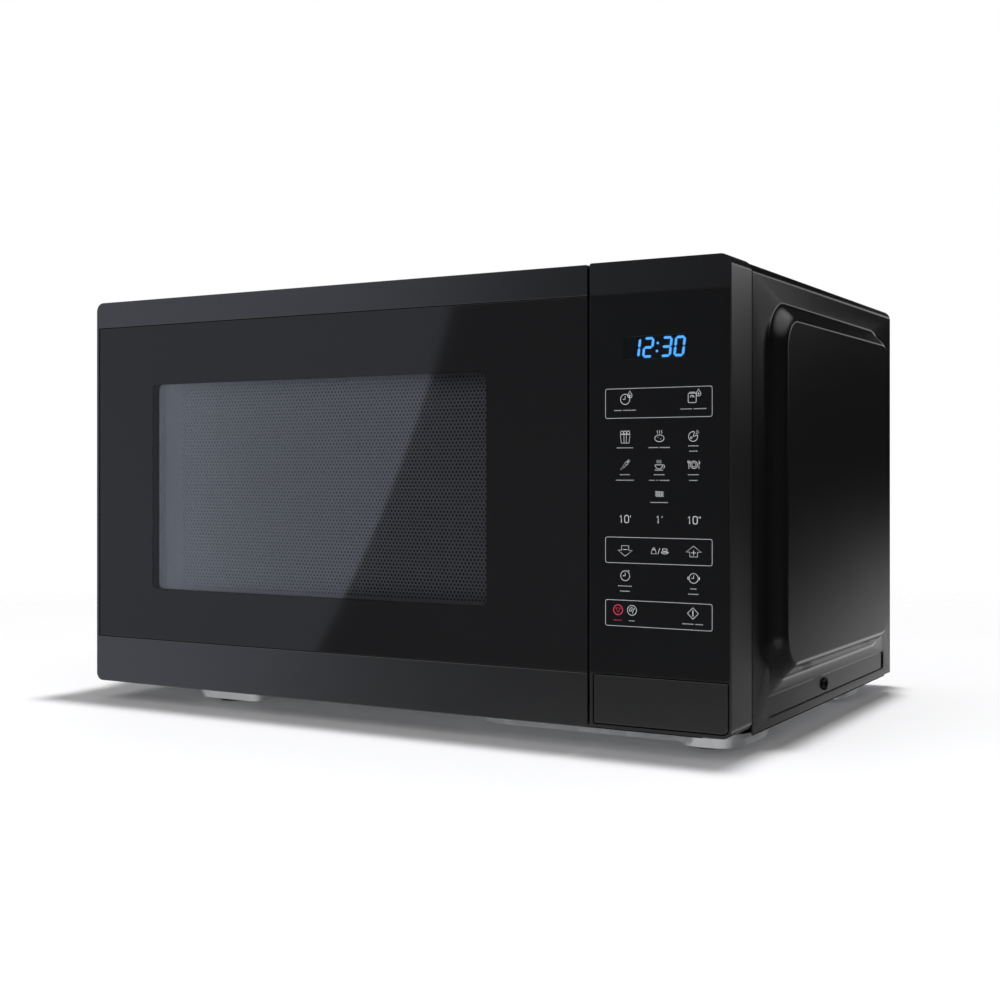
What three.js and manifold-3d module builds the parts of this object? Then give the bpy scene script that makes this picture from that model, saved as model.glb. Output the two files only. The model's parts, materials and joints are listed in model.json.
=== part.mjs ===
// Countertop microwave oven, about 20 litres, built as the loose pieces it comes apart into.
// Millimetres, +Z up. Pieces are written in bench coordinates: x from the middle of the front,
// y back from the door's front plane, z up from the table. The last lines centre the depth.
import * as THREE from "three";
import { mergeVertices } from "three/addons/utils/BufferGeometryUtils.js";
import Module from "manifold-3d";

const wasm = await Module();
wasm.setup();

// ---- Driving dimensions -------------------------------------------------------------------
const WIDTH = 439.5; // front face, without the bulged sides
const DEPTH = 357; // front plane to the rear stand-off
const WRAP = { front: 30, back: 303.9, bottom: 9.8, top: 257.6, corner: 6 };
const SHEET = 0.8; // every pressed steel sheet
const GAP = 0.35; // between pieces that touch
const LEFT = -WIDTH / 2;
const RIGHT = WIDTH / 2;

const DOOR = { x: [LEFT, LEFT + 358.3], z: [11.2, 257.7], back: 27.7, wall: 2.2 };
const GLASS_Z = [40.4, 240.8];
const WINDOW = { x: [-171.25, 76.05], z: [72.5, 203.3] };
const PANEL = { x: [DOOR.x[1] + 1.4, RIGHT], z: [11.7, 258.2], back: 29.8, wall: 2.2 };
const BUTTON = { x: [142.45, 217.75], z: [14.1, 39.7], clear: 0.7, travel: 5 };
const DISPLAY = { x: [159.85, 196.25], z: [205.9, 218.5] };

const FRONT_PLATE_Y = 28.5;
const CAVITY = { x: [-198.25, 107.75], z: [30, 238], back: 299.7, corner: 5 };
const CAVITY_RECESS = { u: [-183, 92], v: [46, 222], corner: 16, height: 36, spread: 5 };
const PLATE = { x: -45.25, y: 172, radius: 127.5 }; // the turntable's middle and size
const ROLLER = { track: 92, radius: 7.5, count: 3 };
const HINGE = { x: LEFT + 9, y: 14, pin: 2.5 };
const BAY_FLOOR = 8.7; // where the power parts stand, just above the base
const HOOK = { x: [124.5, 127], lower: 46.5, upper: 200, tall: 12 };
const CRANK = { y: 37, z: 43, pin: 2 }; // pivot of the release lever
const FAN = { x: 165, z: 95, radius: 45 };

// ---- Finishes: colour, roughness, metalness ----------------------------------------------------
const finish = (color, roughness, metalness = 0) =>
  new THREE.MeshStandardMaterial({ color, roughness, metalness });
const blackPaint = finish(0x16171a, 0.25, 0.1);
const satinBlack = finish(0x1d1f22, 0.45);
const glossBlack = finish(0x1c1d20, 0.12);
const printedGlass = finish(0x24262a, 0.05);
const smokedLens = finish(0x0c1114, 0.08);
const galvanised = finish(0xb9babd, 0.38, 0.85);
const greyEnamel = finish(0xb4b5b2, 0.4, 0.1);
const clearGlass = finish(0xd8e4e4, 0.05);
const clearFilm = finish(0xc4ccd0, 0.2);
const greyPlastic = finish(0x8b8d8f, 0.5);
const whitePlastic = finish(0xe6e4dc, 0.45);
const rubber = finish(0x141414, 0.9);
const blackScrew = finish(0x101012, 0.35, 0.6);
const blackPhenolic = finish(0x1a1a1b, 0.55);
const springSteel = finish(0x9b9da0, 0.3, 0.9);
const laminations = finish(0x5b5d60, 0.5, 0.7);
const varnishedCopper = finish(0x8e4b22, 0.35, 0.6);
const magnetronSteel = finish(0xa9abad, 0.35, 0.8);
const canAluminium = finish(0xc2c4c6, 0.35, 0.8);
const mica = finish(0xb9a78a, 0.55);
const boardGreen = finish(0x2c6b45, 0.5);
const boardBrown = finish(0xb08a4e, 0.6);
const lampGlass = finish(0xf2efe2, 0.15);

// ---- Solids ---------------------------------------------------------------------------------
// A closed three.js geometry as a solid that can be joined and cut.
function solid(geometry) {
  const bare = geometry.clone();
  bare.deleteAttribute("normal");
  bare.deleteAttribute("uv");
  const merged = mergeVertices(bare, 1e-4);
  return new wasm.Manifold(
    new wasm.Mesh({
      numProp: 3,
      vertProperties: merged.attributes.position.array,
      triVerts: new Uint32Array(merged.index.array),
    }),
  );
}

const join = (first, ...rest) => rest.reduce((sum, piece) => sum.add(piece), first);
const cut = (first, ...rest) => rest.reduce((left, tool) => left.subtract(tool), first);

function block(x, y, z) {
  const box = new THREE.BoxGeometry(x[1] - x[0], y[1] - y[0], z[1] - z[0]);
  box.translate((x[0] + x[1]) / 2, (y[0] + y[1]) / 2, (z[0] + z[1]) / 2);
  return solid(box);
}

// Turns a shape drawn in (x, y) and pushed along z so that it lies across the named axis:
// "x" takes an outline in (y, z), "y" one in (x, z), and "z" one in (x, y).
const AXES = {
  x: new THREE.Vector3(1, 0, 0),
  y: new THREE.Vector3(0, 1, 0),
  z: new THREE.Vector3(0, 0, 1),
};
const ACROSS = {
  x: new THREE.Matrix4().makeBasis(AXES.y, AXES.z, AXES.x),
  y: new THREE.Matrix4().makeBasis(AXES.x, AXES.z, AXES.y.clone().negate()),
  z: new THREE.Matrix4(),
};

function place(geometry, axis, from, to) {
  geometry.applyMatrix4(ACROSS[axis]);
  const start = AXES[axis].clone().multiplyScalar(axis === "y" ? to : from);
  return geometry.translate(start.x, start.y, start.z);
}

// A round corner gets twice `curveSegments` facets.
function plate(outline, axis, from, to, curveSegments = 2) {
  const options = { depth: to - from, bevelEnabled: false, curveSegments };
  return solid(place(new THREE.ExtrudeGeometry(outline, options), axis, from, to));
}

// A rectangle with rounded corners; radii run from the low corner anticlockwise.
function rounded([u0, u1], [v0, v1], radius) {
  const [a, b, c, d] = Array.isArray(radius) ? radius : Array(4).fill(radius);
  const shape = new THREE.Shape();
  shape.moveTo(u0 + a, v0);
  shape.lineTo(u1 - b, v0);
  if (b) shape.absarc(u1 - b, v0 + b, b, -Math.PI / 2, 0);
  shape.lineTo(u1, v1 - c);
  if (c) shape.absarc(u1 - c, v1 - c, c, 0, Math.PI / 2);
  shape.lineTo(u0 + d, v1);
  if (d) shape.absarc(u0 + d, v1 - d, d, Math.PI / 2, Math.PI);
  shape.lineTo(u0, v0 + a);
  if (a) shape.absarc(u0 + a, v0 + a, a, Math.PI, Math.PI * 1.5);
  return shape;
}

const polygon = (points) => new THREE.Shape(points.map(([u, v]) => new THREE.Vector2(u, v)));

// A round bar along an axis, through (u, v) in that axis's outline plane.
function rod(axis, [u, v], radius, from, to, sides = 16) {
  const circle = new THREE.Shape();
  circle.absarc(u, v, radius, 0, Math.PI * 2);
  return plate(circle, axis, from, to, sides / 2);
}

// A turned piece about a vertical line through (x, y); the profile is [radius, height] points.
function turned(profile, [x, y], sides = 32) {
  const points = profile.map(([r, h]) => new THREE.Vector2(r, h));
  const lathe = new THREE.LatheGeometry(points, sides);
  lathe.rotateX(Math.PI / 2).translate(x, y, 0);
  return solid(lathe);
}

const grow = ([low, high], by) => [low - by, high + by];

// The hill that a press raises on a flat sheet: `top` is the plateau's outline, and the ramp
// runs out by `spread` before it meets the sheet at `level`. A negative height presses down, and
// `below` carries a cutting hill a little past the sheet's far side.
function hill(top, axis, level, height, spread, below = 0) {
  const thin = 0.02;
  const options = {
    depth: thin,
    bevelThickness: Math.abs(height),
    bevelSize: spread,
    bevelSegments: 1,
    curveSegments: 2,
  };
  const both = solid(place(new THREE.ExtrudeGeometry(top, options), axis, level, level + thin));
  const far = 1000;
  const side = height > 0 ? [level - below, far] : [-far, level + below];
  const span = { x: [-far, far], y: [-far, far], z: [-far, far], [axis]: side };
  return both.intersect(block(span.x, span.y, span.z));
}

// Presses a hill into a sheet, hollow behind it, so that the sheet keeps its thickness.
function press(sheet, { u, v, corner, axis, level, height, spread }) {
  const shift = height > 0 ? -SHEET : SHEET;
  const outside = hill(rounded(u, v, corner), axis, level, height, spread);
  const inner = rounded(grow(u, -SHEET / 2), grow(v, -SHEET / 2), corner - SHEET / 2);
  const inside = hill(inner, axis, level + shift, height, spread, 0.2);
  return cut(join(sheet, outside), inside);
}

function coilSpring(centre, axis, length, { coil, wire, turns }) {
  class Helix extends THREE.Curve {
    getPoint(t, target = new THREE.Vector3()) {
      const angle = t * turns * Math.PI * 2;
      const along = (t - 0.5) * length;
      const round = [coil * Math.cos(angle), coil * Math.sin(angle)];
      const [a, b] = round;
      if (axis === "y") return target.set(centre[0] + a, centre[1] + along, centre[2] + b);
      return target.set(centre[0] + a, centre[1] + b, centre[2] + along);
    }
  }
  const section = new THREE.Shape();
  section.absarc(0, 0, wire, 0, Math.PI * 2);
  const steps = turns * 8;
  const options = { extrudePath: new Helix(), steps, bevelEnabled: false, curveSegments: 3 };
  return solid(new THREE.ExtrudeGeometry(section, options));
}

// ---- The oven --------------------------------------------------------------------------------
const oven = new THREE.Group();

function addTo(group, name, shape, material) {
  const { vertProperties, triVerts, numProp } = shape.getMesh();
  const geometry = new THREE.BufferGeometry();
  if (numProp !== 3) throw new Error(`${name}: expected bare vertices`);
  geometry.setAttribute("position", new THREE.BufferAttribute(vertProperties, 3));
  geometry.setIndex(new THREE.BufferAttribute(triVerts, 1));
  geometry.computeVertexNormals();
  const mesh = new THREE.Mesh(geometry, material);
  mesh.name = name;
  group.add(mesh);
}

// ---- Casing ------------------------------------------------------------------------------------
const RECESS = { y: [55.5, 286], z: [15, 25.7], deep: 1.2 }; // shallow channel for the side screws
const SIDE_SCREW = { at: [157.5, (RECESS.z[0] + RECESS.z[1]) / 2], hole: 2.4, head: 3.9, thread: 2 };
const BULGE = { u: [65, 272], v: [43, 229.4], corner: 16, height: 8, spread: 11.5 };

function cabinetWrap() {
  const { front, back, bottom, top, corner } = WRAP;
  const flange = 12;
  const skin = (inset) =>
    rounded([LEFT + inset, RIGHT - inset], [-40, top - inset], corner - inset);
  let wrap = cut(
    plate(skin(0), "y", front, back),
    plate(skin(SHEET), "y", front - 1, back - SHEET),
    block([LEFT + flange, RIGHT - flange], [front, back + 1], [-50, top - flange]),
  );
  for (const side of [-1, 1]) {
    const wall = side * RIGHT;
    wrap = press(wrap, { ...BULGE, axis: "x", level: wall, height: side * BULGE.height });
    const depths = (outer, inner) => [wall - side * outer, wall - side * inner].sort((a, b) => a - b);
    wrap = join(wrap, block(depths(RECESS.deep + SHEET, SHEET / 2), RECESS.y, RECESS.z));
    const channel = rounded(grow(RECESS.y, -SHEET), grow(RECESS.z, -SHEET), 2);
    wrap = cut(wrap, plate(channel, "x", ...depths(RECESS.deep, -1)));
    wrap = cut(wrap, rod("x", SIDE_SCREW.at, SIDE_SCREW.hole, ...depths(5, -1), 8));
  }
  return cut(wrap, block([-300, 300], [0, 400], [-60, bottom]));
}

function sideScrew(side) {
  const { at, head, thread } = SIDE_SCREW;
  const out = (distance) => side * (RIGHT + distance);
  const span = (a, b) => [out(a), out(b)].sort((low, high) => low - high);
  return join(
    rod("x", at, head, ...span(GAP - RECESS.deep, 1.3), 12),
    rod("x", at, thread, ...span(-6, 0), 8),
  );
}

const REAR = { plate: [WRAP.back - SHEET * 2 - GAP, WRAP.back - SHEET - GAP], inset: SHEET + GAP };
const REAR_BULGE = { u: [-189, 98], v: [41, 227], corner: 18, height: 36.5, spread: 6 };
const VENTS = { x: [128, 202], z: 62, pitch: 8, tall: 3.6, count: 9 };
const REAR_SCREWS = [
  [LEFT + 6.5, 120],
  [RIGHT - 6.5, 120],
];
const GLAND = [190, 36];

function rearPlate() {
  const x = [LEFT + REAR.inset, RIGHT - REAR.inset];
  const z = [WRAP.bottom, WRAP.top - REAR.inset];
  let sheet = plate(rounded(x, z, [0, 0, 5, 5]), "y", ...REAR.plate);
  sheet = press(sheet, { ...REAR_BULGE, axis: "y", level: REAR.plate[1] });
  for (let i = 0; i < VENTS.count; i++) {
    const low = VENTS.z + i * VENTS.pitch;
    sheet = cut(sheet, block(VENTS.x, [290, 310], [low, low + VENTS.tall]));
  }
  for (const centre of REAR_SCREWS) sheet = cut(sheet, rod("y", centre, 2.4, 290, 310, 8));
  return cut(sheet, rod("y", GLAND, 6.4, 290, 310, 10));
}

function rearScrew(centre) {
  return join(
    rod("y", centre, 3.9, WRAP.back + GAP, WRAP.back + 2.4, 12),
    rod("y", centre, 2, WRAP.back - 8, WRAP.back + 1, 8),
  );
}

// The wrap's rear flange is cut where the screws pass, as the rear plate is.
function drilledWrap() {
  let wrap = cabinetWrap();
  for (const centre of REAR_SCREWS) wrap = cut(wrap, rod("y", centre, 2.4, 290, 310, 8));
  return wrap;
}

// Bushing that holds the supply cord; only its bore is shown.
function cordGland() {
  const [low, high] = REAR.plate;
  const bush = join(
    rod("y", GLAND, 9, high + GAP, high + 6, 10),
    rod("y", GLAND, 6, low - 4, high + 1, 10),
    rod("y", GLAND, 7.5, low - 6, low - GAP, 10),
  );
  return cut(bush, rod("y", GLAND, 3.6, low - 10, high + 10, 8));
}

// Moulded spacer on the bulge that keeps the oven off the wall.
function rearSpacer() {
  const seat = REAR.plate[1] + REAR_BULGE.height + GAP;
  const outline = rounded([-75.25, -15.25], [196, 216], 9);
  const hollow = rounded([-72.25, -18.25], [199, 213], 6);
  return cut(plate(outline, "y", seat, DEPTH), plate(hollow, "y", seat - 1, DEPTH - 3));
}

const BASE = { level: [7.5, 8.3], inset: SHEET + RECESS.deep + SHEET + GAP, y: [19, 301] };
const FEET = {
  front_left: { at: [-135.5, 38], boss: 2 },
  front_right: { at: [193, 38], boss: 2 },
  rear_left: { at: [-170, 232], boss: 2.4 },
  rear_right: { at: [198, 232], boss: 2.4 },
};

function basePlate() {
  const x = [LEFT + BASE.inset, RIGHT - BASE.inset];
  let pan = plate(rounded(x, BASE.y, [4, 20, 0, 0]), "z", ...BASE.level);
  for (const side of [x[0], x[1] - SHEET]) {
    const start = side > 0 ? 44 : 34;
    pan = join(pan, block([side, side + SHEET], [start, BASE.y[1] - 2], [BASE.level[0], 25]));
  }
  const pressDown = (u, v, corner, bottom, spread) => {
    const height = bottom - BASE.level[0];
    pan = press(pan, { u, v, corner, axis: "z", level: BASE.level[0], height, spread });
  };
  pressDown([46, 212.6], [22.5, 102], 24, 4, 3);
  pressDown([-155, -105], [25, 57], 8, 2, 3);
  pressDown([177, 213], [22.5, 84], 15, 2, 2);
  pressDown([182, 213], [212, 252], 8, 2.4, 3);
  pressDown([-188, -152], [212, 252], 8, 2.4, 3);
  for (const { at } of Object.values(FEET)) pan = cut(pan, rod("z", at, 3.6, -5, 20, 8));
  return cut(pan, rod("x", SIDE_SCREW.at, SIDE_SCREW.hole, -300, 300, 8));
}

// Push-in rubber foot: pad below the boss, a neck through it and a barbed head above.
function foot({ at, boss }) {
  const seat = boss - GAP;
  const shelf = boss + SHEET + GAP;
  const profile = [
    [0, 0],
    [8.2, 0],
    [9.2, 0.6],
    [9.2, seat],
    [3.2, seat],
    [3.2, shelf],
    [4.6, shelf],
    [3, shelf + 3],
    [0, shelf + 3],
  ];
  return turned(profile, at, 14);
}

// ---- Cavity --------------------------------------------------------------------------------------
const HOOK_SLOTS = [HOOK.lower, HOOK.upper];
const HINGE_ARMS = { lower: [21, 23], upper: [245, 247] };

// Room in the door for a hinge arm, so that the door swings round it.
function hingeSlot([low, high]) {
  const clear = 1.2;
  return block([LEFT - 1, HINGE.x + 9], [6, 30], [low - clear, high + clear]);
}

function frontPlate() {
  const y = [FRONT_PLATE_Y, FRONT_PLATE_Y + SHEET];
  let sheet = plate(rounded([LEFT + 1.5, 214.5], [14.6, 255.3], 4), "y", ...y);
  const through = [y[0] - 2, y[1] + 2];
  sheet = cut(sheet, plate(rounded(CAVITY.x, CAVITY.z, CAVITY.corner), "y", ...through));
  sheet = cut(sheet, plate(rounded([152, 206], [60, 235], 4), "y", ...through));
  for (const low of HOOK_SLOTS)
    sheet = cut(sheet, block([121.5, 131.5], through, [low - 8, low + HOOK.tall + 6]));
  for (const [low, high] of Object.values(HINGE_ARMS))
    sheet = cut(sheet, block([HINGE.x - 6, HINGE.x + 6], through, [low - 0.6, high + 0.6]));
  return cut(sheet, block([143, 152], through, [26, 39]));
}

function cavityShell() {
  const front = FRONT_PLATE_Y + SHEET + GAP;
  const { x, z, back, corner } = CAVITY;
  let shell = cut(
    plate(rounded(grow(x, SHEET), grow(z, SHEET), corner + SHEET), "y", front, back + SHEET),
    plate(rounded(x, z, corner), "y", front - 1, back),
  );
  shell = press(shell, { ...CAVITY_RECESS, axis: "y", level: back + SHEET });
  shell = cut(shell, rod("z", [PLATE.x, PLATE.y], 8, z[0] - 3, z[0] + 3, 12));
  return cut(shell, block([x[1] - 1, x[1] + 3], [124, 184], [130, 190]));
}

function waveguide() {
  const x = [CAVITY.x[1] + SHEET + GAP, 128];
  const box = block(x, [116, 200], [120, 206]);
  const inside = block([x[0] - 1, x[1] - 1], [117, 199], [121, 205]);
  return cut(box, inside, rod("x", [158, 163], 15, 120, 132, 16));
}

function waveguideCover() {
  const face = CAVITY.x[1] - GAP;
  return plate(rounded([118, 190], [124, 196], 3), "x", face - 0.5, face);
}

// ---- Turntable drive -----------------------------------------------------------------------------
const FLOOR = CAVITY.z[0];

function turntableMotor() {
  const top = FLOOR - SHEET - GAP;
  const at = [PLATE.x, PLATE.y];
  const can = rod("z", at, 24.5, top - 16, top, 24);
  const ears = plate(rounded([at[0] - 35, at[0] + 35], [at[1] - 6, at[1] + 6], 5), "z", top - 2, top);
  const boss = rod("z", at, 5, top - 1, top + 1.4, 12);
  return join(can, ears, boss);
}

function driveCoupler() {
  const at = [PLATE.x, PLATE.y];
  let coupler = turned(
    [
      [0, 31],
      [5.5, 31],
      [5.5, 33],
      [9, 34],
      [9, 41],
      [0, 41],
    ],
    at,
    18,
  );
  for (let i = 0; i < 3; i++) {
    const angle = (i * Math.PI * 2) / 3;
    const lobe = [at[0] + 9.5 * Math.cos(angle), at[1] + 9.5 * Math.sin(angle)];
    coupler = join(coupler, rod("z", lobe, 4, 35, 45, 10));
  }
  return coupler;
}

function glassTurntable() {
  const under = FLOOR + ROLLER.radius * 2 + GAP * 2;
  const r = PLATE.radius;
  return turned(
    [
      [0, under],
      [r - 10, under],
      [r - 3, under + 1.5],
      [r, under + 7],
      [r, under + 8],
      [r - 1.2, under + 8.6],
      [r - 3, under + 7.6],
      [r - 6, under + 5.2],
      [0, under + 5.2],
    ],
    [PLATE.x, PLATE.y],
    48,
  );
}

function rollerRing() {
  const level = FLOOR + ROLLER.radius + GAP;
  const at = [PLATE.x, PLATE.y];
  const inner = ROLLER.track - 10;
  let ring = turned(
    [
      [inner, level - 2],
      [inner + 4, level - 2],
      [inner + 4, level + 2],
      [inner, level + 2],
      [inner, level - 2],
    ],
    at,
    32,
  );
  for (let i = 0; i < ROLLER.count; i++) {
    const axle = new THREE.CylinderGeometry(1.3, 1.3, 13, 8);
    axle.rotateZ(Math.PI / 2).translate(inner + 9, 0, level);
    axle.rotateZ((i * Math.PI * 2) / ROLLER.count).translate(at[0], at[1], 0);
    ring = join(ring, solid(axle));
  }
  return ring;
}

function roller(index) {
  const profile = [
    [1.6, -3.5],
    [6.6, -3.5],
    [ROLLER.radius, -2.6],
    [ROLLER.radius, 2.6],
    [6.6, 3.5],
    [1.6, 3.5],
    [1.6, -3.5],
  ];
  const wheel = new THREE.LatheGeometry(
    profile.map(([r, h]) => new THREE.Vector2(r, h)),
    16,
  );
  wheel.rotateZ(-Math.PI / 2).translate(ROLLER.track, 0, FLOOR + ROLLER.radius + GAP);
  wheel.rotateZ((index * Math.PI * 2) / ROLLER.count).translate(PLATE.x, PLATE.y, 0);
  return solid(wheel);
}

// ---- Door --------------------------------------------------------------------------------------
// Seen from above, the rear corner by the hinge is cut back so that it clears as the door swings.
function doorPlan(inset) {
  const [x0, x1] = grow(DOOR.x, -inset);
  const chamfer = 8;
  return polygon([
    [x0, -5 + inset],
    [x1, -5 + inset],
    [x1, 40],
    [x0 + chamfer + 16, 40],
    [x0 + chamfer + inset / 2, DOOR.back],
    [x0, DOOR.back - chamfer - inset / 2],
  ]);
}

const DOOR_FRAME_BACK = 24;
const LEDGE = 5.8; // back of the ledge that carries the glass
const PEEP = { x: [-178, 83], z: [66, 210] }; // opening behind the printed window

function doorFrame() {
  const { x, z, wall } = DOOR;
  const body = plate(rounded(x, z, [5, 1, 1, 5.5]), "y", 0, DOOR_FRAME_BACK);
  let frame = body.intersect(plate(doorPlan(0), "z", 0, 300));
  const room = block(grow(x, -wall), [LEDGE, DOOR.back + 9], grow(z, -wall));
  frame = cut(frame, room.intersect(plate(doorPlan(wall), "z", 0, 300)));
  for (const [low, high] of [
    [23 + GAP, 36],
    [232, 245 - GAP],
  ]) {
    const knuckle = block([x[0] + 0.5, HINGE.x + 8], [LEDGE - 1, HINGE.y + 5.5], [low, high]);
    frame = join(frame, knuckle);
  }
  frame = cut(frame, block([x[0] + 2.3, x[1] + 1], [-1, 3.7], grow(GLASS_Z, GAP)));
  frame = cut(frame, plate(rounded(PEEP.x, PEEP.z, 6), "y", -1, 9));
  for (const arm of Object.values(HINGE_ARMS)) frame = cut(frame, hingeSlot(arm));
  return cut(frame, rod("z", [HINGE.x, HINGE.y], HINGE.pin + 0.35, 21, 247, 16));
}

function doorGlass() {
  const x = [DOOR.x[0] + 2.6, DOOR.x[1] - 0.1];
  return plate(rounded(x, GLASS_Z, 1), "y", 0.15, 3.35);
}

function doorScreen() {
  return plate(rounded([-182, 87], [60, 216], 3), "y", 16.8, 17.4);
}

// Pressed steel door pan; its turned-back rim is the microwave choke.
function doorPanel() {
  const outline = (inset) => rounded([-199 + inset, 116 - inset], [22 + inset, 248 - inset], 4);
  const tray = cut(
    plate(outline(0), "y", 17.8, DOOR_FRAME_BACK),
    plate(outline(SHEET), "y", 17.8 + SHEET, DOOR_FRAME_BACK + 1),
  );
  return cut(tray, plate(rounded(WINDOW.x, WINDOW.z, 4), "y", 10, 30));
}

function doorChokeCover() {
  const y = [DOOR_FRAME_BACK + GAP, DOOR.back];
  let cover = plate(rounded([-211, DOOR.x[1] - 2], [14, 255], 4), "y", ...y);
  cover = cut(cover, plate(rounded(PEEP.x, PEEP.z, 6), "y", 10, 40));
  for (const low of HOOK_SLOTS)
    cover = cut(cover, block([122, 130], [10, 40], [low - 7, low + HOOK.tall + 5.5]));
  for (const arm of Object.values(HINGE_ARMS)) cover = cut(cover, hingeSlot(arm));
  return cover;
}

function doorInnerFilm() {
  const film = rounded(grow(PEEP.x, -GAP), grow(PEEP.z, -GAP), 5.7);
  return plate(film, "y", DOOR_FRAME_BACK + 1, DOOR_FRAME_BACK + 1.6);
}

// One moulding inside the door's free edge: an upright and two hooks that reach into the oven.
function latchHooks() {
  const upright = block(HOOK.x, [14, 20], [44, 216]);
  const hooks = HOOK_SLOTS.map((low) => {
    const outline = polygon([
      [19, low],
      [50.6, low],
      [50.6, low - 4.5],
      [55, low - 4.5],
      [58, low + 4],
      [52, low + HOOK.tall],
      [19, low + HOOK.tall],
    ]);
    return plate(outline, "x", ...HOOK.x);
  });
  return join(upright, ...hooks);
}

function latchSpring() {
  const middle = [(HOOK.x[0] + HOOK.x[1]) / 2, 9.8, 130];
  return coilSpring(middle, "z", 34, { coil: 2.6, wire: 0.4, turns: 7 });
}

function hingeBracket(name) {
  const [low, high] = HINGE_ARMS[name];
  const back = FRONT_PLATE_Y + SHEET + GAP;
  const arm = plate(
    rounded([HINGE.x - 5, HINGE.x + 5], [HINGE.y - 5, back + 1], [4.9, 4.9, 0, 0]),
    "z",
    low,
    high,
  );
  const upper = name === "upper";
  const flangeZ = upper ? [low - 24, high + 4] : [low - 4, high + 24];
  const flange = block([HINGE.x - 6, HINGE.x + 10], [back, back + 1.6], flangeZ);
  const pin = rod(
    "z",
    [HINGE.x, HINGE.y],
    HINGE.pin,
    upper ? low - 10 : high - 1,
    upper ? low + 1 : high + 10,
    16,
  );
  return join(arm, flange, pin);
}

// ---- Control side ------------------------------------------------------------------------------
const OVERLAY = { x: [140.8, 218.25], z: [41, 240.8] };

function controlBezel() {
  const { x, z, back, wall } = PANEL;
  const shell = cut(
    plate(rounded(x, z, [1, 5, 6, 1]), "y", 0, back),
    plate(rounded(grow(x, -wall), grow(z, -wall), [0.5, 3, 4, 0.5]), "y", wall + 1.2, back + 1),
  );
  const opening = rounded(
    grow(BUTTON.x, BUTTON.clear),
    grow(BUTTON.z, BUTTON.clear),
    [1.5, 3.4, 1.5, 1.5],
  );
  return cut(
    shell,
    block(grow(OVERLAY.x, GAP), [-1, 1.1], grow(OVERLAY.z, GAP)),
    plate(opening, "y", -1, 12 + BUTTON.travel + 1),
    block(grow(DISPLAY.x, 2), [-1, 10], grow(DISPLAY.z, 2)),
    block([x[0] - 1, x[0] + wall + 0.5], [FRONT_PLATE_Y - GAP, back + 1], grow(z, -wall)),
  );
}

function touchPanel() {
  const sheet = plate(rounded(OVERLAY.x, OVERLAY.z, 0.8), "y", 0.1, 0.75);
  return cut(sheet, block(DISPLAY.x, [-1, 2], DISPLAY.z));
}

function displayLens() {
  return plate(rounded(grow(DISPLAY.x, -GAP), grow(DISPLAY.z, -GAP), 0.5), "y", 0.15, 0.75);
}

function displayModule() {
  return plate(rounded(grow(DISPLAY.x, 4), grow(DISPLAY.z, 3), 1), "y", 4, 11.6);
}

function controlBoard() {
  return plate(rounded([146, 214], [62, 236], 2), "y", 12, 13.6);
}

function releaseButton() {
  const { x, z } = BUTTON;
  const corners = [1, 3, 1, 1];
  const cap = plate(rounded(x, z, corners), "y", 0, 12);
  const hollow = block(grow(x, -1.8), [2.4, 13], grow(z, -1.8));
  const prong = block([145.5, 149], [1, CRANK.y - 2.2 - GAP], [28, 33]);
  return join(cut(cap, hollow), prong);
}

function buttonSpring() {
  return coilSpring([190, 15.5, 27], "y", 24, { coil: 4, wire: 0.45, turns: 6 });
}

function releaseLever() {
  const { y, z } = CRANK;
  const crank = polygon([
    [y - 2.2, z - 15],
    [y + 2, z - 15],
    [y + 4.5, z - 4],
    [y + 13, z - 2],
    [y + 13, z + 2],
    [y + 3, z + 4.5],
    [y - 3, z + 4.5],
    [y - 4.5, z],
    [y - 2.2, z - 8],
  ]);
  const web = plate(crank, "x", 145, 149);
  const lift = block([123, 146], [y + 9, y + 13], [z - 2, z + 2]);
  return cut(join(web, lift), rod("x", [y, z], CRANK.pin + 0.4, 140, 155, 16));
}

const SWITCHES = { primary: 186, secondary: 58, monitor: 78 }; // heights of their undersides

function latchBracket() {
  const y = [FRONT_PLATE_Y + SHEET + GAP, 72];
  const wall = block([131, 134], y, [24, 226]);
  const flange = block([131, 142.5], [y[0], y[0] + 1.6], [42, 226]);
  const pin = rod("x", [CRANK.y, CRANK.z], CRANK.pin, 133, 151, 16);
  const liftWindow = block([130, 135], [CRANK.y + 6, CRANK.y + 17], [CRANK.z - 6, CRANK.z + 11]);
  const leverRoom = block([136, 150], [0, CRANK.y - 6.5], [20, 60]);
  let bracket = cut(join(wall, flange), liftWindow, leverRoom);
  for (const low of [110, 150]) bracket = cut(bracket, block([130, 135], [40, 62], [low, low + 26]));
  return join(bracket, pin);
}

function microSwitch(low) {
  const body = block([134 + GAP, 144.6], [42, 69.8], [low, low + 15.9]);
  const plunger = block([138, 141], [39.6, 43], [low + 6, low + 9]);
  const tabs = [3, 11].map((z) => block([139, 139.8], [69, 76], [low + z, low + z + 4.8]));
  return join(body, plunger, ...tabs);
}

// ---- Power bay ------------------------------------------------------------------------------------
function magnetron() {
  const y = [114, 202];
  const z = [124, 202];
  const axis = [158, 163];
  const face = 128 + GAP;
  const yoke = cut(block([face, 182], y, z), block([face + 2, 180], [y[0] - 1, y[1] + 1], grow(z, -2)));
  const fins = [];
  for (let i = 0; i < 6; i++) {
    const at = 146 + i * 4;
    fins.push(block([at, at + 0.8], grow(y, -4), grow(z, -1)));
  }
  const tube = rod("x", axis, 19, face + 1, 181, 14);
  const magnets = [
    [face + 1, 143],
    [170, 181],
  ].map(([from, to]) => rod("x", axis, 27, from, to, 16));
  const antenna = rod("x", axis, 8, 113, face + 1, 12);
  return join(yoke, ...fins, tube, ...magnets, antenna);
}

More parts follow.
